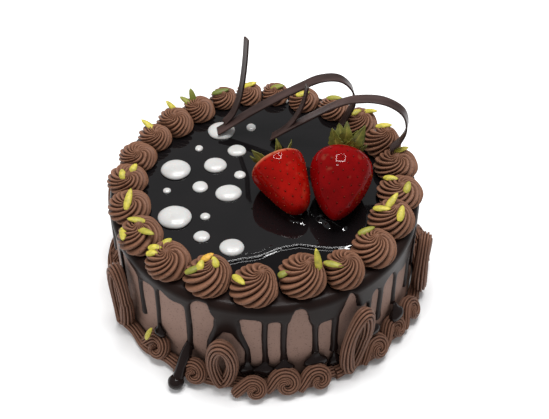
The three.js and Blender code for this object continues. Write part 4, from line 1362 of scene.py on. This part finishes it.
@dataclass
class Pistachios:
    """Slivers of pistachio scattered on the rosettes."""

    ring: RosetteRing
    width: float = 4.7
    thickness: float = 2.6
    stretch: float = 1.25
    sink: float = 0.3
    # rosette, outward, anticlockwise, heading, rise, length, tone
    rows: tuple[tuple[float, ...], ...] = (
        (1, 2.5, -8, 305, 15, 10, 0.4),
        (2, 1, -11, 20, 10, 6, 0.1),
        (2, 2, 8.5, 115, 68, 13, 0.8),
        (3, 0, -6.5, 340, 5, 10, 0.2),
        (4, -8, 3.5, 20, 12, 9, 0.15),
        (5, -2, 5, 50, 25, 11, 0.8),
        (5, -6, -2, 345, 12, 9, 0.7),
        (5, 6, -2, 75, 20, 9, 0.45),
        (6, -6, 6, 340, 12, 8, 0.6),
        (6, 4, -3, 70, 20, 7, 0.3),
        (7, 4, 5, 5, 20, 9, 0.5),
        (8, 5, 6, 350, 15, 9, 0.6),
        (9, 8, -2, 330, 25, 10, 0.8),
        (9, 0, 3, 20, 10, 7, 0.4),
        (10, 3, 1, 340, 15, 9, 0.2),
        (11, -2, 0, 15, 8, 8, 0.7),
        (12, 0, -2, 0, 15, 8, 0.1),
        (13, 2, -1, 5, 20, 8, 0.7),
        (14, 0, 2, 10, 10, 10, 0.0),
        (15, 6, 1, 120, 60, 9, 0.05),
        (15, 7, 5, 150, 18, 9, 0.1),
        (16, 8, -4, 150, 40, 9, 0.6),
        (17, 6, -2, 150, 25, 10, 0.6),
        (19, -4, -4, 60, 15, 6, 0.5),
        (19, 2, 3, 100, 20, 6, 0.4),
        (20, 0, 2, 80, 20, 12, 0.75),
        (21, 0, -5, 175, 8, 9, 0.35),
        (21, 10.5, -1, 275, 12, 11, 0.4),
        (21, -1, 6.5, 325, 14, 11, 0.3),
        (22, -6, -7, 30, 15, 6, 0.4),
        (22, 2, -8, 350, 10, 7, 0.45),
        (22, 6, -6, 0, 8, 6, 0.5),
        (23, -6, -3, 30, 15, 7, 1.0),
        (23, 1, -4, 70, 20, 6, 0.6),
        (23, 4, -6, 20, 10, 10, 0.1),
        (23, -4, 3, 110, 20, 6, 0.5),
    )
    # the one that fell on the border: azimuth, distance, height, length
    fallen: tuple[float, float, float, float] = (227.4, 105.4, 21.8, 8.5)
    fallen_turn: float = 150.0  # from its azimuth to its heading
    fallen_rise: float = 62.0
    fallen_tone: float = 0.6
    finish: NutFinish = NutFinish()

    def master(self) -> bpy.types.Object:
        """Returns a sliver of half length 1: a curved wedge, blunt at one end."""
        rows = [(0.45, -1.0), (0.8, -0.8), (1.0, -0.4), (0.97, 0.0), (0.8, 0.4), (0.5, 0.75)]
        rows += [(0.24, 0.94), (0.0, 1.0)]
        piece = ring_lofted(12, rows, "sliver_master")
        points = points_of(piece)
        along, across, up = points[:, 2].copy(), points[:, 0].copy(), points[:, 1].copy()
        flat = np.maximum(up, -0.45)
        bend = 0.16 * (1 - along**2)
        move_points(piece, np.stack([along, across, flat], -1) + np.outer(bend, [0, 0, 1]))
        face_outwards(piece)
        return piece

    def placed(
        self,
        master: bpy.types.Object,
        at: Vector,
        heading: float,
        rise: float,
        length: float,
        tone: float,
    ) -> bpy.types.Object:
        """One sliver.

        Args:
            master: the unit sliver.
            at: its middle, in millimetres.
            heading: azimuth that its point looks to.
            rise: how steeply it stands.
            length: its length.
            tone: 0 for dark green up to 1 for amber.

        Returns:
            The placed copy.
        """
        piece = copy_of(master, "sliver")
        half = length / 2 * self.stretch
        size = Matrix.Diagonal((half, self.width / 2, self.thickness / 2, 1))
        pose = Matrix.Rotation(math.radians(heading), 4, "Z") @ Matrix.Rotation(
            -math.radians(rise), 4, "Y"
        )
        piece.data.transform(Matrix.Scale(MM, 4) @ Matrix.Translation(at) @ pose @ size)
        shade = piece.data.attributes.new("tone", "FLOAT", "POINT")
        shade.data.foreach_set("value", [tone] * len(piece.data.vertices))
        return piece

    def build(self) -> bpy.types.Object:
        """Builds every sliver as one piece.

        Returns:
            The finished piece.
        """
        master = self.master()
        pieces = []
        for number, out, along, heading, rise, length, tone in self.rows:
            at = self.ring.top_at(int(number) - 1, out, along)
            at.z += length / 2 * math.sin(math.radians(rise)) * 0.6 - self.sink
            pieces.append(self.placed(master, at, heading, rise, length, tone))
        azimuth, far, z, length = self.fallen
        turn = math.radians(azimuth)
        at = Vector((far * math.cos(turn), far * math.sin(turn), z))
        heading = azimuth + self.fallen_turn
        last = self.placed(master, at, heading, self.fallen_rise, length, self.fallen_tone)
        pieces.append(last)
        whole = joined(pieces, "pistachio_slivers")
        smooth(whole, 50)
        hand_over(whole, self.finish.build(), [])
        bpy.data.objects.remove(master)
        return whole


@dataclass(frozen=True)
class BorderKind:
    """One kind of run: its tall loop, and its swirls as degrees on, distance and radius."""

    height: float
    tube: float
    lean: float
    swirls: tuple[tuple[float, float, float], ...]
    loop_shift: float = 0.0
    swirl_reach: float = 5.8  # how far past its middle a swirl may come

    def reach(self) -> float:
        """Returns how far from the axis the run may come."""
        return max(distance for _, distance, _ in self.swirls) + self.swirl_reach


@dataclass
class Border:
    """The piped border round the foot: eight runs, each a tall loop and its small swirls."""

    first_azimuth: float = 211
    spacing: float = 45
    before: float = 6.5
    lean: float = 28
    loop_width: float = 21.5
    kinds: tuple[BorderKind, ...] = (
        BorderKind(54, 4.8, -3, ((18.8, 103.2, 10.4), (35.4, 106.6, 9.6))),
        BorderKind(43.5, 4.8, 0, ((11, 109.5, 8.8), (21.2, 106.5, 10.4), (31.8, 107.5, 10))),
        BorderKind(54.5, 4.8, 9, ((10.5, 105.5, 10.2), (21.5, 104.5, 9.8), (31.5, 106, 9.8)), -1.1),
        BorderKind(52, 4.8, 2, ((12, 105, 10.2), (22.5, 106, 9.8), (33, 105, 10.2))),
        BorderKind(50, 3.6, 0, ((14, 99.5, 8), (24.5, 99.5, 8), (34.5, 100, 8))),
    )
    # which kind stands at each place round the cake
    order: tuple[int, ...] = (0, 1, 2, 3, 0, 1, 2, 4)
    finish: CreamFinish = CreamFinish(
        "mocha_border", (0.155, 0.074, 0.046), (0.195, 0.097, 0.062), (0.09, 0.042, 0.026), 0.3, 0.5
    )

    def loop(self, azimuth: float, kind: BorderKind) -> Rope:
        """The tall loop.

        Args:
            azimuth: where its foot stands.
            kind: the run's sizes.

        Returns:
            The rope to build.
        """
        height, tube = kind.height, kind.tube
        half = self.loop_width / 2 - tube
        middle = height / 2 + 1
        reach = height / 2 - tube - 1
        rows = []
        for share in np.linspace(0, 1, 80):
            turn = math.radians(-100 + 390 * share)
            z = middle + reach * math.sin(turn) * (1 - 0.08 * math.cos(2 * turn))
            along = half * math.cos(turn) * (1 + 0.1 * math.sin(turn))
            along += math.sin(math.radians(kind.lean)) * z
            out = 0.2 + 1.6 * share + (0.6 if turn > 0 else 0)
            radius = tube * (0.92 + 0.1 * math.sin(turn * 2 + azimuth))
            if share > 0.93:
                radius *= 1 - 0.5 * (share - 0.93) / 0.07
            at = polar(
                np.array(BORDER_INNER + tube + out * 0.8),
                np.array(azimuth + kind.loop_shift + math.degrees(along / 100)),
                np.array(z),
            )
            rows.append((*at, radius))
        return Rope(np.array(rows), roll=0.4)

    def swirl(self, azimuth: float, distance: float, radius: float, phase: float) -> Rope:
        """A small swirl with the strand that leads to it.

        Args:
            azimuth: where it sits.
            distance: how far its middle is from the axis.
            radius: its outer radius.
            phase: how far its end winds on, in degrees.

        Returns:
            The rope to build.
        """
        lean = math.radians(self.lean)
        size = radius / 10
        out = polar(np.array(math.cos(lean)), np.array(azimuth), np.array(math.sin(lean)))
        side = polar(np.array(1.0), np.array(azimuth + 90), np.array(0.0))
        up = np.cross(out, side)
        middle = polar(np.array(distance), np.array(azimuth), np.array(radius * math.cos(lean)))
        knots = [(-12.5, -5.0, -1.8, 3.2), (-9.5, -1.5, -1.2, 3.8)]
        for share in np.linspace(0, 1, 13):
            turn = math.radians(150 - (400 + phase) * share)
            coil = (6.2 * (1 - share) ** 0.75 + 0.4) * size
            knots.append(
                (
                    coil * math.cos(turn),
                    coil * math.sin(turn),
                    -0.8 + 4.6 * share**1.2,
                    (4.3 - 2.3 * share**1.5) * size,
                )
            )
        line = smooth_line(knots, 70)
        points = middle + line[:, :1] * side + line[:, 1:2] * up + line[:, 2:3] * out
        return Rope(np.column_stack([points, line[:, 3]]), roll=0.2)

    def foot(self, start: float, stop: float, seed: int) -> Rope:
        """The rope that runs along the foot of a run.

        Args:
            start: its first azimuth.
            stop: its last azimuth.
            seed: varies its waves.

        Returns:
            The rope to build.
        """
        rows = []
        for share in np.linspace(0, 1, 48):
            wave = math.sin(share * 17 + seed)
            at = polar(
                np.array(BORDER_INNER + 4.6 + 0.7 * wave),
                np.array(start + (stop - start) * share),
                np.array(4.3 + 0.5 * math.sin(share * 11 + seed * 2)),
            )
            rows.append((*at, 4.2 + 0.3 * wave))
        return Rope(np.array(rows))

    def fitted(self, points: np.ndarray, reach: float) -> np.ndarray:
        """Keeps points off the wall, within reach and on the floor.

        Args:
            points: rows of x, y and z in millimetres.
            reach: how far from the axis they may lie.

        Returns:
            The moved points.
        """
        radius = np.hypot(points[:, 0], points[:, 1])
        held = np.clip(radius, CAKE_RADIUS + 0.6, reach)
        points = points.copy()
        points[:, :2] *= (held / radius)[:, None]
        pressed = 1 - np.tanh(1 - points[:, 2])
        points[:, 2] = np.where(points[:, 2] < 1, pressed, points[:, 2])
        return points

    def build(self) -> list[bpy.types.Object]:
        """Builds the border.

        Returns:
            One piece for each run.
        """
        material = self.finish.build()
        pieces = []
        for i, chosen in enumerate(self.order):
            azimuth = self.first_azimuth + i * self.spacing
            kind = self.kinds[chosen]
            stop = azimuth + self.spacing - self.before
            ropes = [self.foot(azimuth - self.before, stop, i), self.loop(azimuth, kind)]
            for n, (offset, distance, radius) in enumerate(kind.swirls):
                phase = 40 * ((i + n) % 3) - 20
                ropes.append(self.swirl(azimuth + offset, distance, radius, phase))
            parts = [rope.build(f"strand_{n}") for n, rope in enumerate(ropes)]
            piece = joined(parts, f"border_run_{i + 1}")
            move_points(piece, self.fitted(points_of(piece) / MM, kind.reach()) * MM)
            smooth(piece, 70)
            hand_over(piece, material, [f"border_{i + 1}"])
            pieces.append(piece)
        return pieces


# ---------------------------------------------------------------------------------------------
# What lies on top
# ---------------------------------------------------------------------------------------------


@dataclass
class WhiteDots:
    """Drops of white chocolate on the mirror."""

    # x, y, width, depth
    rows: tuple[tuple[float, float, float, float], ...] = (
        (-28.9, 53.3, 18.2, 16.4),
        (-9.1, 56.9, 6.4, 7.4),
        (-43.1, 36.6, 5.2, 5.6),
        (-18.2, 34.2, 12.2, 10.6),
        (-57.2, 16.2, 19.2, 17.6),
        (-31.9, 20.5, 14.8, 13.3),
        (-15.8, 11.7, 7.4, 7),
        (-40.8, 0.9, 9.8, 9.8),
        (-61.7, -2.4, 5.1, 4.7),
        (-22.7, -4.9, 16.9, 14.1),
        (-55.4, -25.9, 21, 19),
        (-36.6, -24.8, 6.3, 5.8),
        (-38.1, -41.7, 10.1, 9.1),
        (-19.4, -50.8, 15.2, 13.5),
    )
    tiny: tuple[float, float, float, float] = (14.7, 84, 3.1, 3.5)
    height_of_width: float = 0.13
    least_height: float = 1.05
    finish: WhiteFinish = WhiteFinish()

    def master(self) -> bpy.types.Object:
        """Returns a dome of half width 1 and height 1, tucked under at its rim."""
        rows = [(0.9, 0.0), (0.985, 0.1), (1.0, 0.24), (0.985, 0.38), (0.93, 0.55), (0.84, 0.7)]
        rows += [(0.7, 0.83), (0.52, 0.92), (0.34, 0.97), (0.16, 0.995), (0.0, 1.0)]
        return ring_lofted(48, rows, "dot_master")

    def build(self) -> list[bpy.types.Object]:
        """Builds the dots.

        Returns:
            One piece for each dot.
        """
        master = self.master()
        unit = points_of(master)
        material = self.finish.build()
        pieces = []
        for i, (x, y, width, depth) in enumerate((*self.rows, self.tiny)):
            height = width * self.height_of_width + self.least_height
            name = f"white_dot_{i + 1:02d}"
            piece = copy_of(master, name)
            seed = Vector((i * 5.1, 2, 0))
            wobble = np.array([noise.noise(Vector((*p[:2], 0)) * 1.1 + seed) for p in unit])
            points = unit * (width / 2, depth / 2, height)
            points[:, :2] *= (1 + 0.05 * wobble)[:, None]
            points += (x, y, SEAT - 0.45)
            move_points(piece, points * MM)
            smooth(piece)
            nodes = [f"dot_{i + 1:02d}"] if i < len(self.rows) else []
            hand_over(piece, material, nodes)
            pieces.append(piece)
        bpy.data.objects.remove(master)
        return pieces


@dataclass
class Strawberry:
    """A whole strawberry that lies on the mirror, with its seeds and its calyx."""

    side_name: str
    centre: tuple[float, float]
    width: float
    length: float
    heading: float
    fullness: float
    shoulder: float
    # angle in the fan, length, width, lean away from the berry
    leaves: tuple[tuple[float, float, float, float], ...]
    skin: BerryFinish
    seed: SeedFinish
    seeds: int = 150
    rings: int = 150
    columns: int = 160
    tilt: float = 14.0
    pit_depth: float = 0.14

    def axes(self) -> tuple[np.ndarray, np.ndarray, np.ndarray, np.ndarray]:
        """Returns the berry's axis, side, up and middle."""
        turn, tilt = math.radians(self.heading), math.radians(self.tilt)
        level = np.array([math.cos(turn), math.sin(turn), 0.0])
        axis = level * math.cos(tilt) - np.array([0, 0, math.sin(tilt)])
        side = np.array([-math.sin(turn), math.cos(turn), 0.0])
        up = np.cross(axis, side)
        shares = np.linspace(0, 1, 200)
        radius = self.girth(shares) * self.width / 2
        depth = radius * up[2] - (shares - 0.5) * self.length * axis[2]
        middle = np.array([*self.centre, SEAT + depth.max()])
        return axis, side, up, middle

    def girth(self, t: np.ndarray) -> np.ndarray:
        """Returns the share of the full width at a share of the length from the calyx."""
        return np.sin(math.pi * np.clip(t, 0, 1) ** self.shoulder) ** self.fullness

    def seed_places(self) -> list[tuple[float, float]]:
        """Returns share of the length and angle of each seed, spaced evenly on the skin."""
        shares = np.linspace(0, 1, 400)
        area = np.cumsum(self.girth(shares))
        area = area / area[-1]
        places = []
        for i in range(self.seeds):
            t = float(np.interp((i + 0.7) / (self.seeds + 0.4), area, shares))
            places.append((t, (i * GOLDEN_TURN) % 360))
        return places

    def surface(self, t: np.ndarray, angle: np.ndarray, lift: np.ndarray) -> np.ndarray:
        """Points over the skin.

        Args:
            t: shares of the length.
            angle: turns about the axis, in degrees from the side towards up.
            lift: distances above the skin.

        Returns:
            Points in millimetres.
        """
        axis, side, up, middle = self.axes()
        lumps = 1 + 0.018 * np.sin(np.radians(angle * 3 + 50)) + 0.012 * np.sin(t * 9)
        radius = self.girth(t) * self.width / 2 * lumps + lift
        turn = np.radians(angle)
        start = (t - 0.5) * self.length
        points = (
            middle
            + start[:, None] * axis
            + (np.cos(turn) * radius)[:, None] * side
            + (np.sin(turn) * radius)[:, None] * up
        )
        points[:, 2] = np.maximum(points[:, 2], SEAT + 0.2)
        return points

    def body(self) -> bpy.types.Object:
        """Builds the skin with its pits.

        Returns:
            The finished piece.
        """
        shares = (1 - np.cos(np.linspace(0.02, math.pi - 0.02, self.rings))) / 2
        rows = [(max(float(self.girth(np.array(t))), 0.01), float(t)) for t in shares]
        piece = ring_lofted(self.columns, [*rows, (0.0, 1.0)], f"berry_{self.side_name}")
        points = points_of(piece)
        t = points[:, 2]
        angle = np.degrees(np.arctan2(points[:, 1], points[:, 0]))
        pit = np.zeros(len(t))
        for share, turn in self.seed_places():
            radius = float(self.girth(np.array(share))) * self.width / 2
            off = np.radians((angle - turn + 180) % 360 - 180) * radius
            gap = np.hypot(off * 1.25, (t - share) * self.length)
            pit = np.maximum(pit, np.exp(-((gap / 1.05) ** 2)))
        move_points(piece, self.surface(t, angle, -self.pit_depth * pit) * MM)
        pale = np.clip((0.09 - t) / 0.07, 0, 1) * 0.85
        # the pit mask, which also sinks the skin, carries the painted shade in the pits
        for name, values in (("pit", pit * 0.7), ("pale", pale)):
            piece.data.attributes.new(name, "FLOAT", "POINT").data.foreach_set("value", values)
        face_outwards(piece)
        smooth(piece)
        hand_over(piece, self.skin.build(), [f"strawberry_{self.side_name}"])
        return piece

    def seed_piece(self, material: bpy.types.Material) -> bpy.types.Object:
        """Builds the seeds as one piece.

        Args:
            material: their finish.

        Returns:
            The finished piece.
        """
        rows = [(0.6, -0.75), (1.0, -0.3), (0.85, 0.3), (0.0, 1.0)]
        master = ring_lofted(6, rows, "seed_master")
        unit = points_of(master)
        pieces = []
        for t, angle in self.seed_places():
            if t < 0.05 or t > 0.97:
                continue
            piece = copy_of(master, "seed")
            radius = max(float(self.girth(np.array(t))) * self.width / 2, 1.0)
            along = t + unit[:, 2] * 0.75 / self.length
            around = angle + np.degrees(unit[:, 0] * 0.45 / radius)
            lift = unit[:, 1] * 0.35 - self.pit_depth + 0.2
            move_points(piece, self.surface(along, around, lift) * MM)
            pieces.append(piece)
        whole = joined(pieces, f"seeds_{self.side_name}")
        face_outwards(whole)
        smooth(whole)
        hand_over(whole, material, [])
        bpy.data.objects.remove(master)
        return whole

    def leaf(
        self,
        start: np.ndarray,
        along: np.ndarray,
        across: np.ndarray,
        size: tuple[float, float],
        i: int,
    ) -> bpy.types.Object:
        """One leaf of the calyx, folded along its rib and bent over.

        Args:
            start: its root.
            along: the way it grows.
            across: the way its width points.
            size: its length and width.
            i: its number, which varies its bend.

        Returns:
            The leaf, in metres.
        """
        piece, share, wide = grid(18, 10, "leaf")
        wide = wide * 2 - 1
        length, width = size
        spread = np.sin(math.pi * np.clip(share, 0, 1) ** 0.72) ** 0.8 + 0.24 * (1 - share)
        teeth = 1 + 0.1 * np.sin(share * 38 + i) * np.abs(wide) ** 3
        half = width / 2 * spread * teeth
        normal = np.cross(along, across)
        droop = 0.1 * np.sin(share * 2.8) - 0.16 * share**2.2
        droop = droop + 0.025 * np.sin(share * 9 + i * 1.9)
        curl = 0.3 * np.abs(wide) * half + 0.5 * np.sin(share * 14 + i) * wide**2 * 0.6
        points = (
            start
            + (share * length)[:, None] * along
            + (wide * half)[:, None] * across
            + (droop * length + curl)[:, None] * normal
        )
        points = points + (0.8 * math.sin(i * 1.7) * share**2 * length * 0.2)[:, None] * across
        move_points(piece, points * MM)
        rib = np.exp(-((wide / 0.14) ** 2)) * (1 - 0.6 * share) + 0.5 * (1 - share) ** 4
        piece.data.attributes.new("rib", "FLOAT", "POINT").data.foreach_set("value", rib)
        apply_modifier(piece, "SOLIDIFY", thickness=0.45 * MM, offset=0.0, use_rim=True)
        return piece

    def calyx(self, material: bpy.types.Material) -> bpy.types.Object:
        """Builds the star of leaves and its hub.

        Args:
            material: their finish.

        Returns:
            The finished piece.
        """
        axis, side, up, middle = self.axes()
        back = -axis
        root = middle + back * (self.length / 2 + 1.7)
        rows = [(2.2, -1.6), (3.2, -1.2), (3.4, 0.2), (2.4, 1.1), (1.5, 1.8)]
        rows += [(1.3, 3.4), (0.0, 3.6)]
        hub = ring_lofted(16, rows, "hub")
        unit = points_of(hub)
        move_points(hub, (root + unit[:, :1] * side + unit[:, 1:2] * up + unit[:, 2:3] * back) * MM)
        rib = hub.data.attributes.new("rib", "FLOAT", "POINT")
        rib.data.foreach_set("value", [0.5] * len(unit))
        parts = [hub]
        for i, (angle, length, width, lean) in enumerate(self.leaves):
            turn = math.radians(angle)
            spread = side * math.cos(turn) + up * math.sin(turn)
            along = spread + back * lean
            along = along / np.linalg.norm(along)
            across = np.cross(spread, back)
            start = root + spread * 2.2 + back * (0.8 if i % 2 else -0.8)
            parts.append(self.leaf(start, along, across, (length, width), i))
        whole = joined(parts, f"leaves_{self.side_name}")
        smooth(whole, 60)
        hand_over(whole, material, [f"calyx_{self.side_name}"])
        return whole

    def build(self) -> None:
        """Builds the berry, its seeds and its calyx."""
        self.body()
        self.seed_piece(self.seed.build())
        self.calyx(LeafFinish(name=f"leaf_{self.side_name}").build())


@dataclass
class RibbonCurl:
    """A chocolate ribbon: an arch and the upright strip that joins its foot."""

    name: str
    node: str
    across: tuple[float, float, float]
    strip_across: tuple[float, float, float]
    arch: tuple[tuple[float, float, float], ...]
    strip: tuple[tuple[float, float, float], ...]
    arch_width: float = 7.4
    strip_width: float = 5.0
    thickness: float = 1.2

    def ribbon(
        self,
        knots: tuple[tuple[float, float, float], ...],
        facing: tuple[float, float, float],
        width: float,
        count: int,
    ) -> bpy.types.Object:
        """A flat ribbon along a smooth line.

        Args:
            knots: points along its middle.
            facing: the way its width points.
            width: its width.
            count: steps along it.

        Returns:
            The ribbon, in metres.
        """
        line = smooth_line(list(knots), count + 1)
        piece, share, wide = grid(count, 6, "ribbon")
        row = np.rint(share * count).astype(int)
        along = np.gradient(line, axis=0)
        along = along / np.linalg.norm(along, axis=1)[:, None]
        across = np.array(facing)
        across = across - along * (along @ across)[:, None]
        across = across / np.linalg.norm(across, axis=1)[:, None]
        normal = np.cross(along, across)
        wide = wide * 2 - 1
        cup = 0.18 * (wide**2 - 0.5)
        ragged = 1 + 0.012 * np.sin(share * 61) + 0.01 * np.sin(share * 23 + 1)
        points = line[row] + (wide * width / 2 * ragged)[:, None] * across[row]
        move_points(piece, (points + cup[:, None] * normal[row]) * MM)
        apply_modifier(piece, "SOLIDIFY", thickness=self.thickness * MM, offset=0.0, use_rim=True)
        apply_modifier(
            piece, "BEVEL", width=0.14 * MM, segments=2, limit_method="ANGLE", angle_limit=0.9
        )
        return piece

    def build(self, material: bpy.types.Material) -> bpy.types.Object:
        """Builds the curl.

        Args:
            material: its finish.

        Returns:
            The finished piece.
        """
        parts = [
            self.ribbon(self.arch, self.across, self.arch_width, 110),
            self.ribbon(self.strip, self.strip_across, self.strip_width, 40),
        ]
        whole = joined(parts, self.name)
        face_outwards(whole)
        smooth(whole, 35)
        hand_over(whole, material, [self.node])
        return whole


CURLS = (
    RibbonCurl(
        "ribbon_back",
        "curl_back",
        (-0.12, 1, 0),
        (-0.55, 0.84, 0),
        (
            (-31.2, 49.5, 74), (-3, 54.5, 91.5), (23, 55.5, 107.5), (36, 56, 113.9),
            (48, 56.4, 113.9), (56.2, 56.5, 106), (58.4, 56, 95), (54.5, 54.5, 84.5),
            (49, 52.5, 73.5),
        ),
        (
            (-27, 53.8, 78), (-21, 55.2, 85.5), (-17, 56.6, 96), (-14.2, 57.6, 110),
            (-12.2, 58.4, 127), (-11, 59, 144),
        ),
    ),
    RibbonCurl(
        "ribbon_front",
        "curl_front",
        (0.2, 1, 0),
        (-0.2, 1, 0),
        (
            (4.5, 45.4, 73), (22, 40.5, 90), (47, 33.5, 112.5), (62, 30, 119.2),
            (75.6, 28, 118.8), (86.8, 26.5, 111.6), (90, 25, 100.5), (87, 23.5, 91),
            (80.5, 21.5, 84.8),
        ),
        (
            (8.5, 44.2, 77), (15, 43.6, 84), (20.5, 43.8, 92.5), (25, 44.3, 104),
            (27.4, 45, 117.5),
        ),
    ),
)

BERRIES = (
    Strawberry(
        "left",
        (14.6, -12.8),
        34.2,
        38,
        296,
        0.36,
        0.3,
        ((25, 16, 5, 0.4), (66, 13, 5.5, 0.4), (145, 16, 6, 0.4), (174, 13, 6, 0.4)),
        BerryFinish("berry_left", (0.14, 0.0015, 0.001), (0.255, 0.004, 0.002), (0.45, 0.16, 0.08)),
        SeedFinish("seed_left", (0.11, 0.006, 0.002), (0.23, 0.03, 0.008)),
        seeds=130,
    ),
    Strawberry(
        "right",
        (46, -15),
        38.6,
        48.6,
        261,
        0.62,
        0.6,
        (
            (-5, 14, 8, 0.5),
            (30, 15, 8, 0.4),
            (54, 20, 7.5, 0.5),
            (68, 14, 8, 0.4),
            (84, 18.5, 8.5, 0.5),
            (100, 16, 8.5, 0.5),
            (128, 15.5, 9, 0.4),
        ),
        BerryFinish("berry_right", (0.1, 0.0008, 0.001), (0.175, 0.0015, 0.002), (0.5, 0.26, 0.14)),
        SeedFinish("seed_right", (0.06, 0.002, 0.0015), (0.13, 0.012, 0.005)),
        seeds=150,
    ),
)


# ---------------------------------------------------------------------------------------------
# Studio
# ---------------------------------------------------------------------------------------------


@dataclass
class Studio:
    """A pale floor, soft light and the camera at the photograph's angle."""

    floor_size: float = 6.0
    world_strength: float = 0.37
    camera_at: tuple[float, float, float] = (0.00385, -0.49093, 0.56763)
    pitch: float = 46.4556
    yaw: float = 0.29991
    roll: float = 0.16279
    lens: float = 72.13
    finish: FloorFinish = FloorFinish()

    def floor(self) -> None:
        """Lays the floor."""
        deselect_all()
        bpy.ops.mesh.primitive_circle_add(
            vertices=96, radius=self.floor_size, fill_type="NGON", location=(0, 0, -0.0002)
        )
        floor = bpy.context.active_object
        floor.name = "floor"
        settle(floor)
        bpy.ops.object.mode_set(mode="EDIT")
        bpy.ops.mesh.select_all(action="SELECT")
        bpy.ops.mesh.inset(thickness=self.floor_size * 0.2)
        bpy.ops.object.mode_set(mode="OBJECT")
        floor.data.materials.append(self.finish.build())

    def panel(
        self,
        name: str,
        at: tuple[float, float, float],
        size: tuple[float, float],
        power: float,
        mirrored: bool = False,
    ) -> None:
        """One soft panel that looks at the cake.

        Args:
            name: the light's name.
            at: its place in metres.
            size: its width and height.
            power: watts.
            mirrored: whether glossy surfaces show it.
        """
        data = bpy.data.lights.new(name, "AREA")
        data.shape = "RECTANGLE"
        data.size, data.size_y = size
        data.energy = power
        light = bpy.data.objects.new(name, data)
        light.visible_glossy = mirrored
        bpy.context.scene.collection.objects.link(light)
        light.location = at
        aim = Vector((0, 0, 0.05)) - Vector(at)
        light.rotation_euler = aim.to_track_quat("-Z", "Y").to_euler()

    def frame_light(
        self, middle: Vector, wide: float, tall: float, bar: float, power: float
    ) -> None:
        """A square frame of four slim bars, overhead and a little behind.

        Args:
            middle: its middle in metres.
            wide: its width.
            tall: its height.
            bar: width of each bar.
            power: watts of each bar.
        """
        aim = (Vector((0, 0, 0.07)) - middle).normalized()
        right = Vector((1, 0, 0))
        up = right.cross(aim).normalized()
        for name, offset, size in (
            ("bar_top", up * tall / 2, (wide, bar)),
            ("bar_bottom", -up * tall / 2, (wide, bar)),
            ("bar_left", -right * wide / 2, (bar, tall)),
            ("bar_right", right * wide / 2, (bar, tall)),
        ):
            self.panel(name, tuple(middle + offset), size, power, mirrored=True)
            bar_light = bpy.data.objects[name]
            bar_light.rotation_euler = Matrix((right, -up, -aim)).transposed().to_euler()

    def light(self) -> None:
        """Sets the lights and the sky."""
        self.panel("key_top", (0.1, 0.2, 1.7), (1.2, 1.2), 12)
        self.panel("fill_left", (-1.5, -0.6, 0.9), (1.0, 1.0), 9)
        self.panel("fill_front", (0.5, -1.8, 0.8), (1.4, 0.8), 1.5)
        self.frame_light(Vector((0.06, 0.17, 1.08)), 0.44, 0.42, 0.045, 3.1)
        world = bpy.data.worlds.new("studio")
        bpy.context.scene.world = world
        world.use_nodes = True
        sky = world.node_tree.nodes["Background"]
        sky.inputs["Color"].default_value = (0.97, 0.985, 1.0, 1)
        sky.inputs["Strength"].default_value = self.world_strength
        bpy.context.scene.view_settings.view_transform = "Standard"

    def camera(self) -> None:
        """Places the camera."""
        pitch, yaw, roll = (math.radians(v) for v in (self.pitch, self.yaw, self.roll))
        ahead = Vector(
            (math.sin(yaw) * math.cos(pitch), math.cos(yaw) * math.cos(pitch), -math.sin(pitch))
        )
        level = Vector((math.cos(yaw), -math.sin(yaw), 0))
        above = level.cross(ahead)
        right = level * math.cos(roll) + above * math.sin(roll)
        up = above * math.cos(roll) - level * math.sin(roll)
        data = bpy.data.cameras.new("photo_camera")
        data.lens = self.lens
        data.sensor_width = 36
        data.clip_start = 0.01
        camera = bpy.data.objects.new("photo_camera", data)
        bpy.context.scene.collection.objects.link(camera)
        turned = Matrix((right, up, -ahead)).transposed().to_4x4()
        camera.matrix_world = Matrix.Translation(self.camera_at) @ turned
        bpy.context.scene.camera = camera

    def build(self) -> None:
        """Sets the whole studio."""
        self.floor()
        self.light()
        self.camera()


def main() -> None:
    """Builds the studio and the cake, piece by piece."""
    Studio().build()
    log.info("studio ready")
    CakeBody().build()
    GlazeCoat().build()
    GlazeTop().build()
    ring = RosetteRing()
    ring.build()
    Pistachios(ring).build()
    Border().build()
    GlazePools().build()
    WhiteDots().build()
    for berry in BERRIES:
        berry.build()
    chocolate = ChocolateFinish().build()
    for curl in CURLS:
        curl.build(chocolate)


if __name__ == "__main__":
    main()
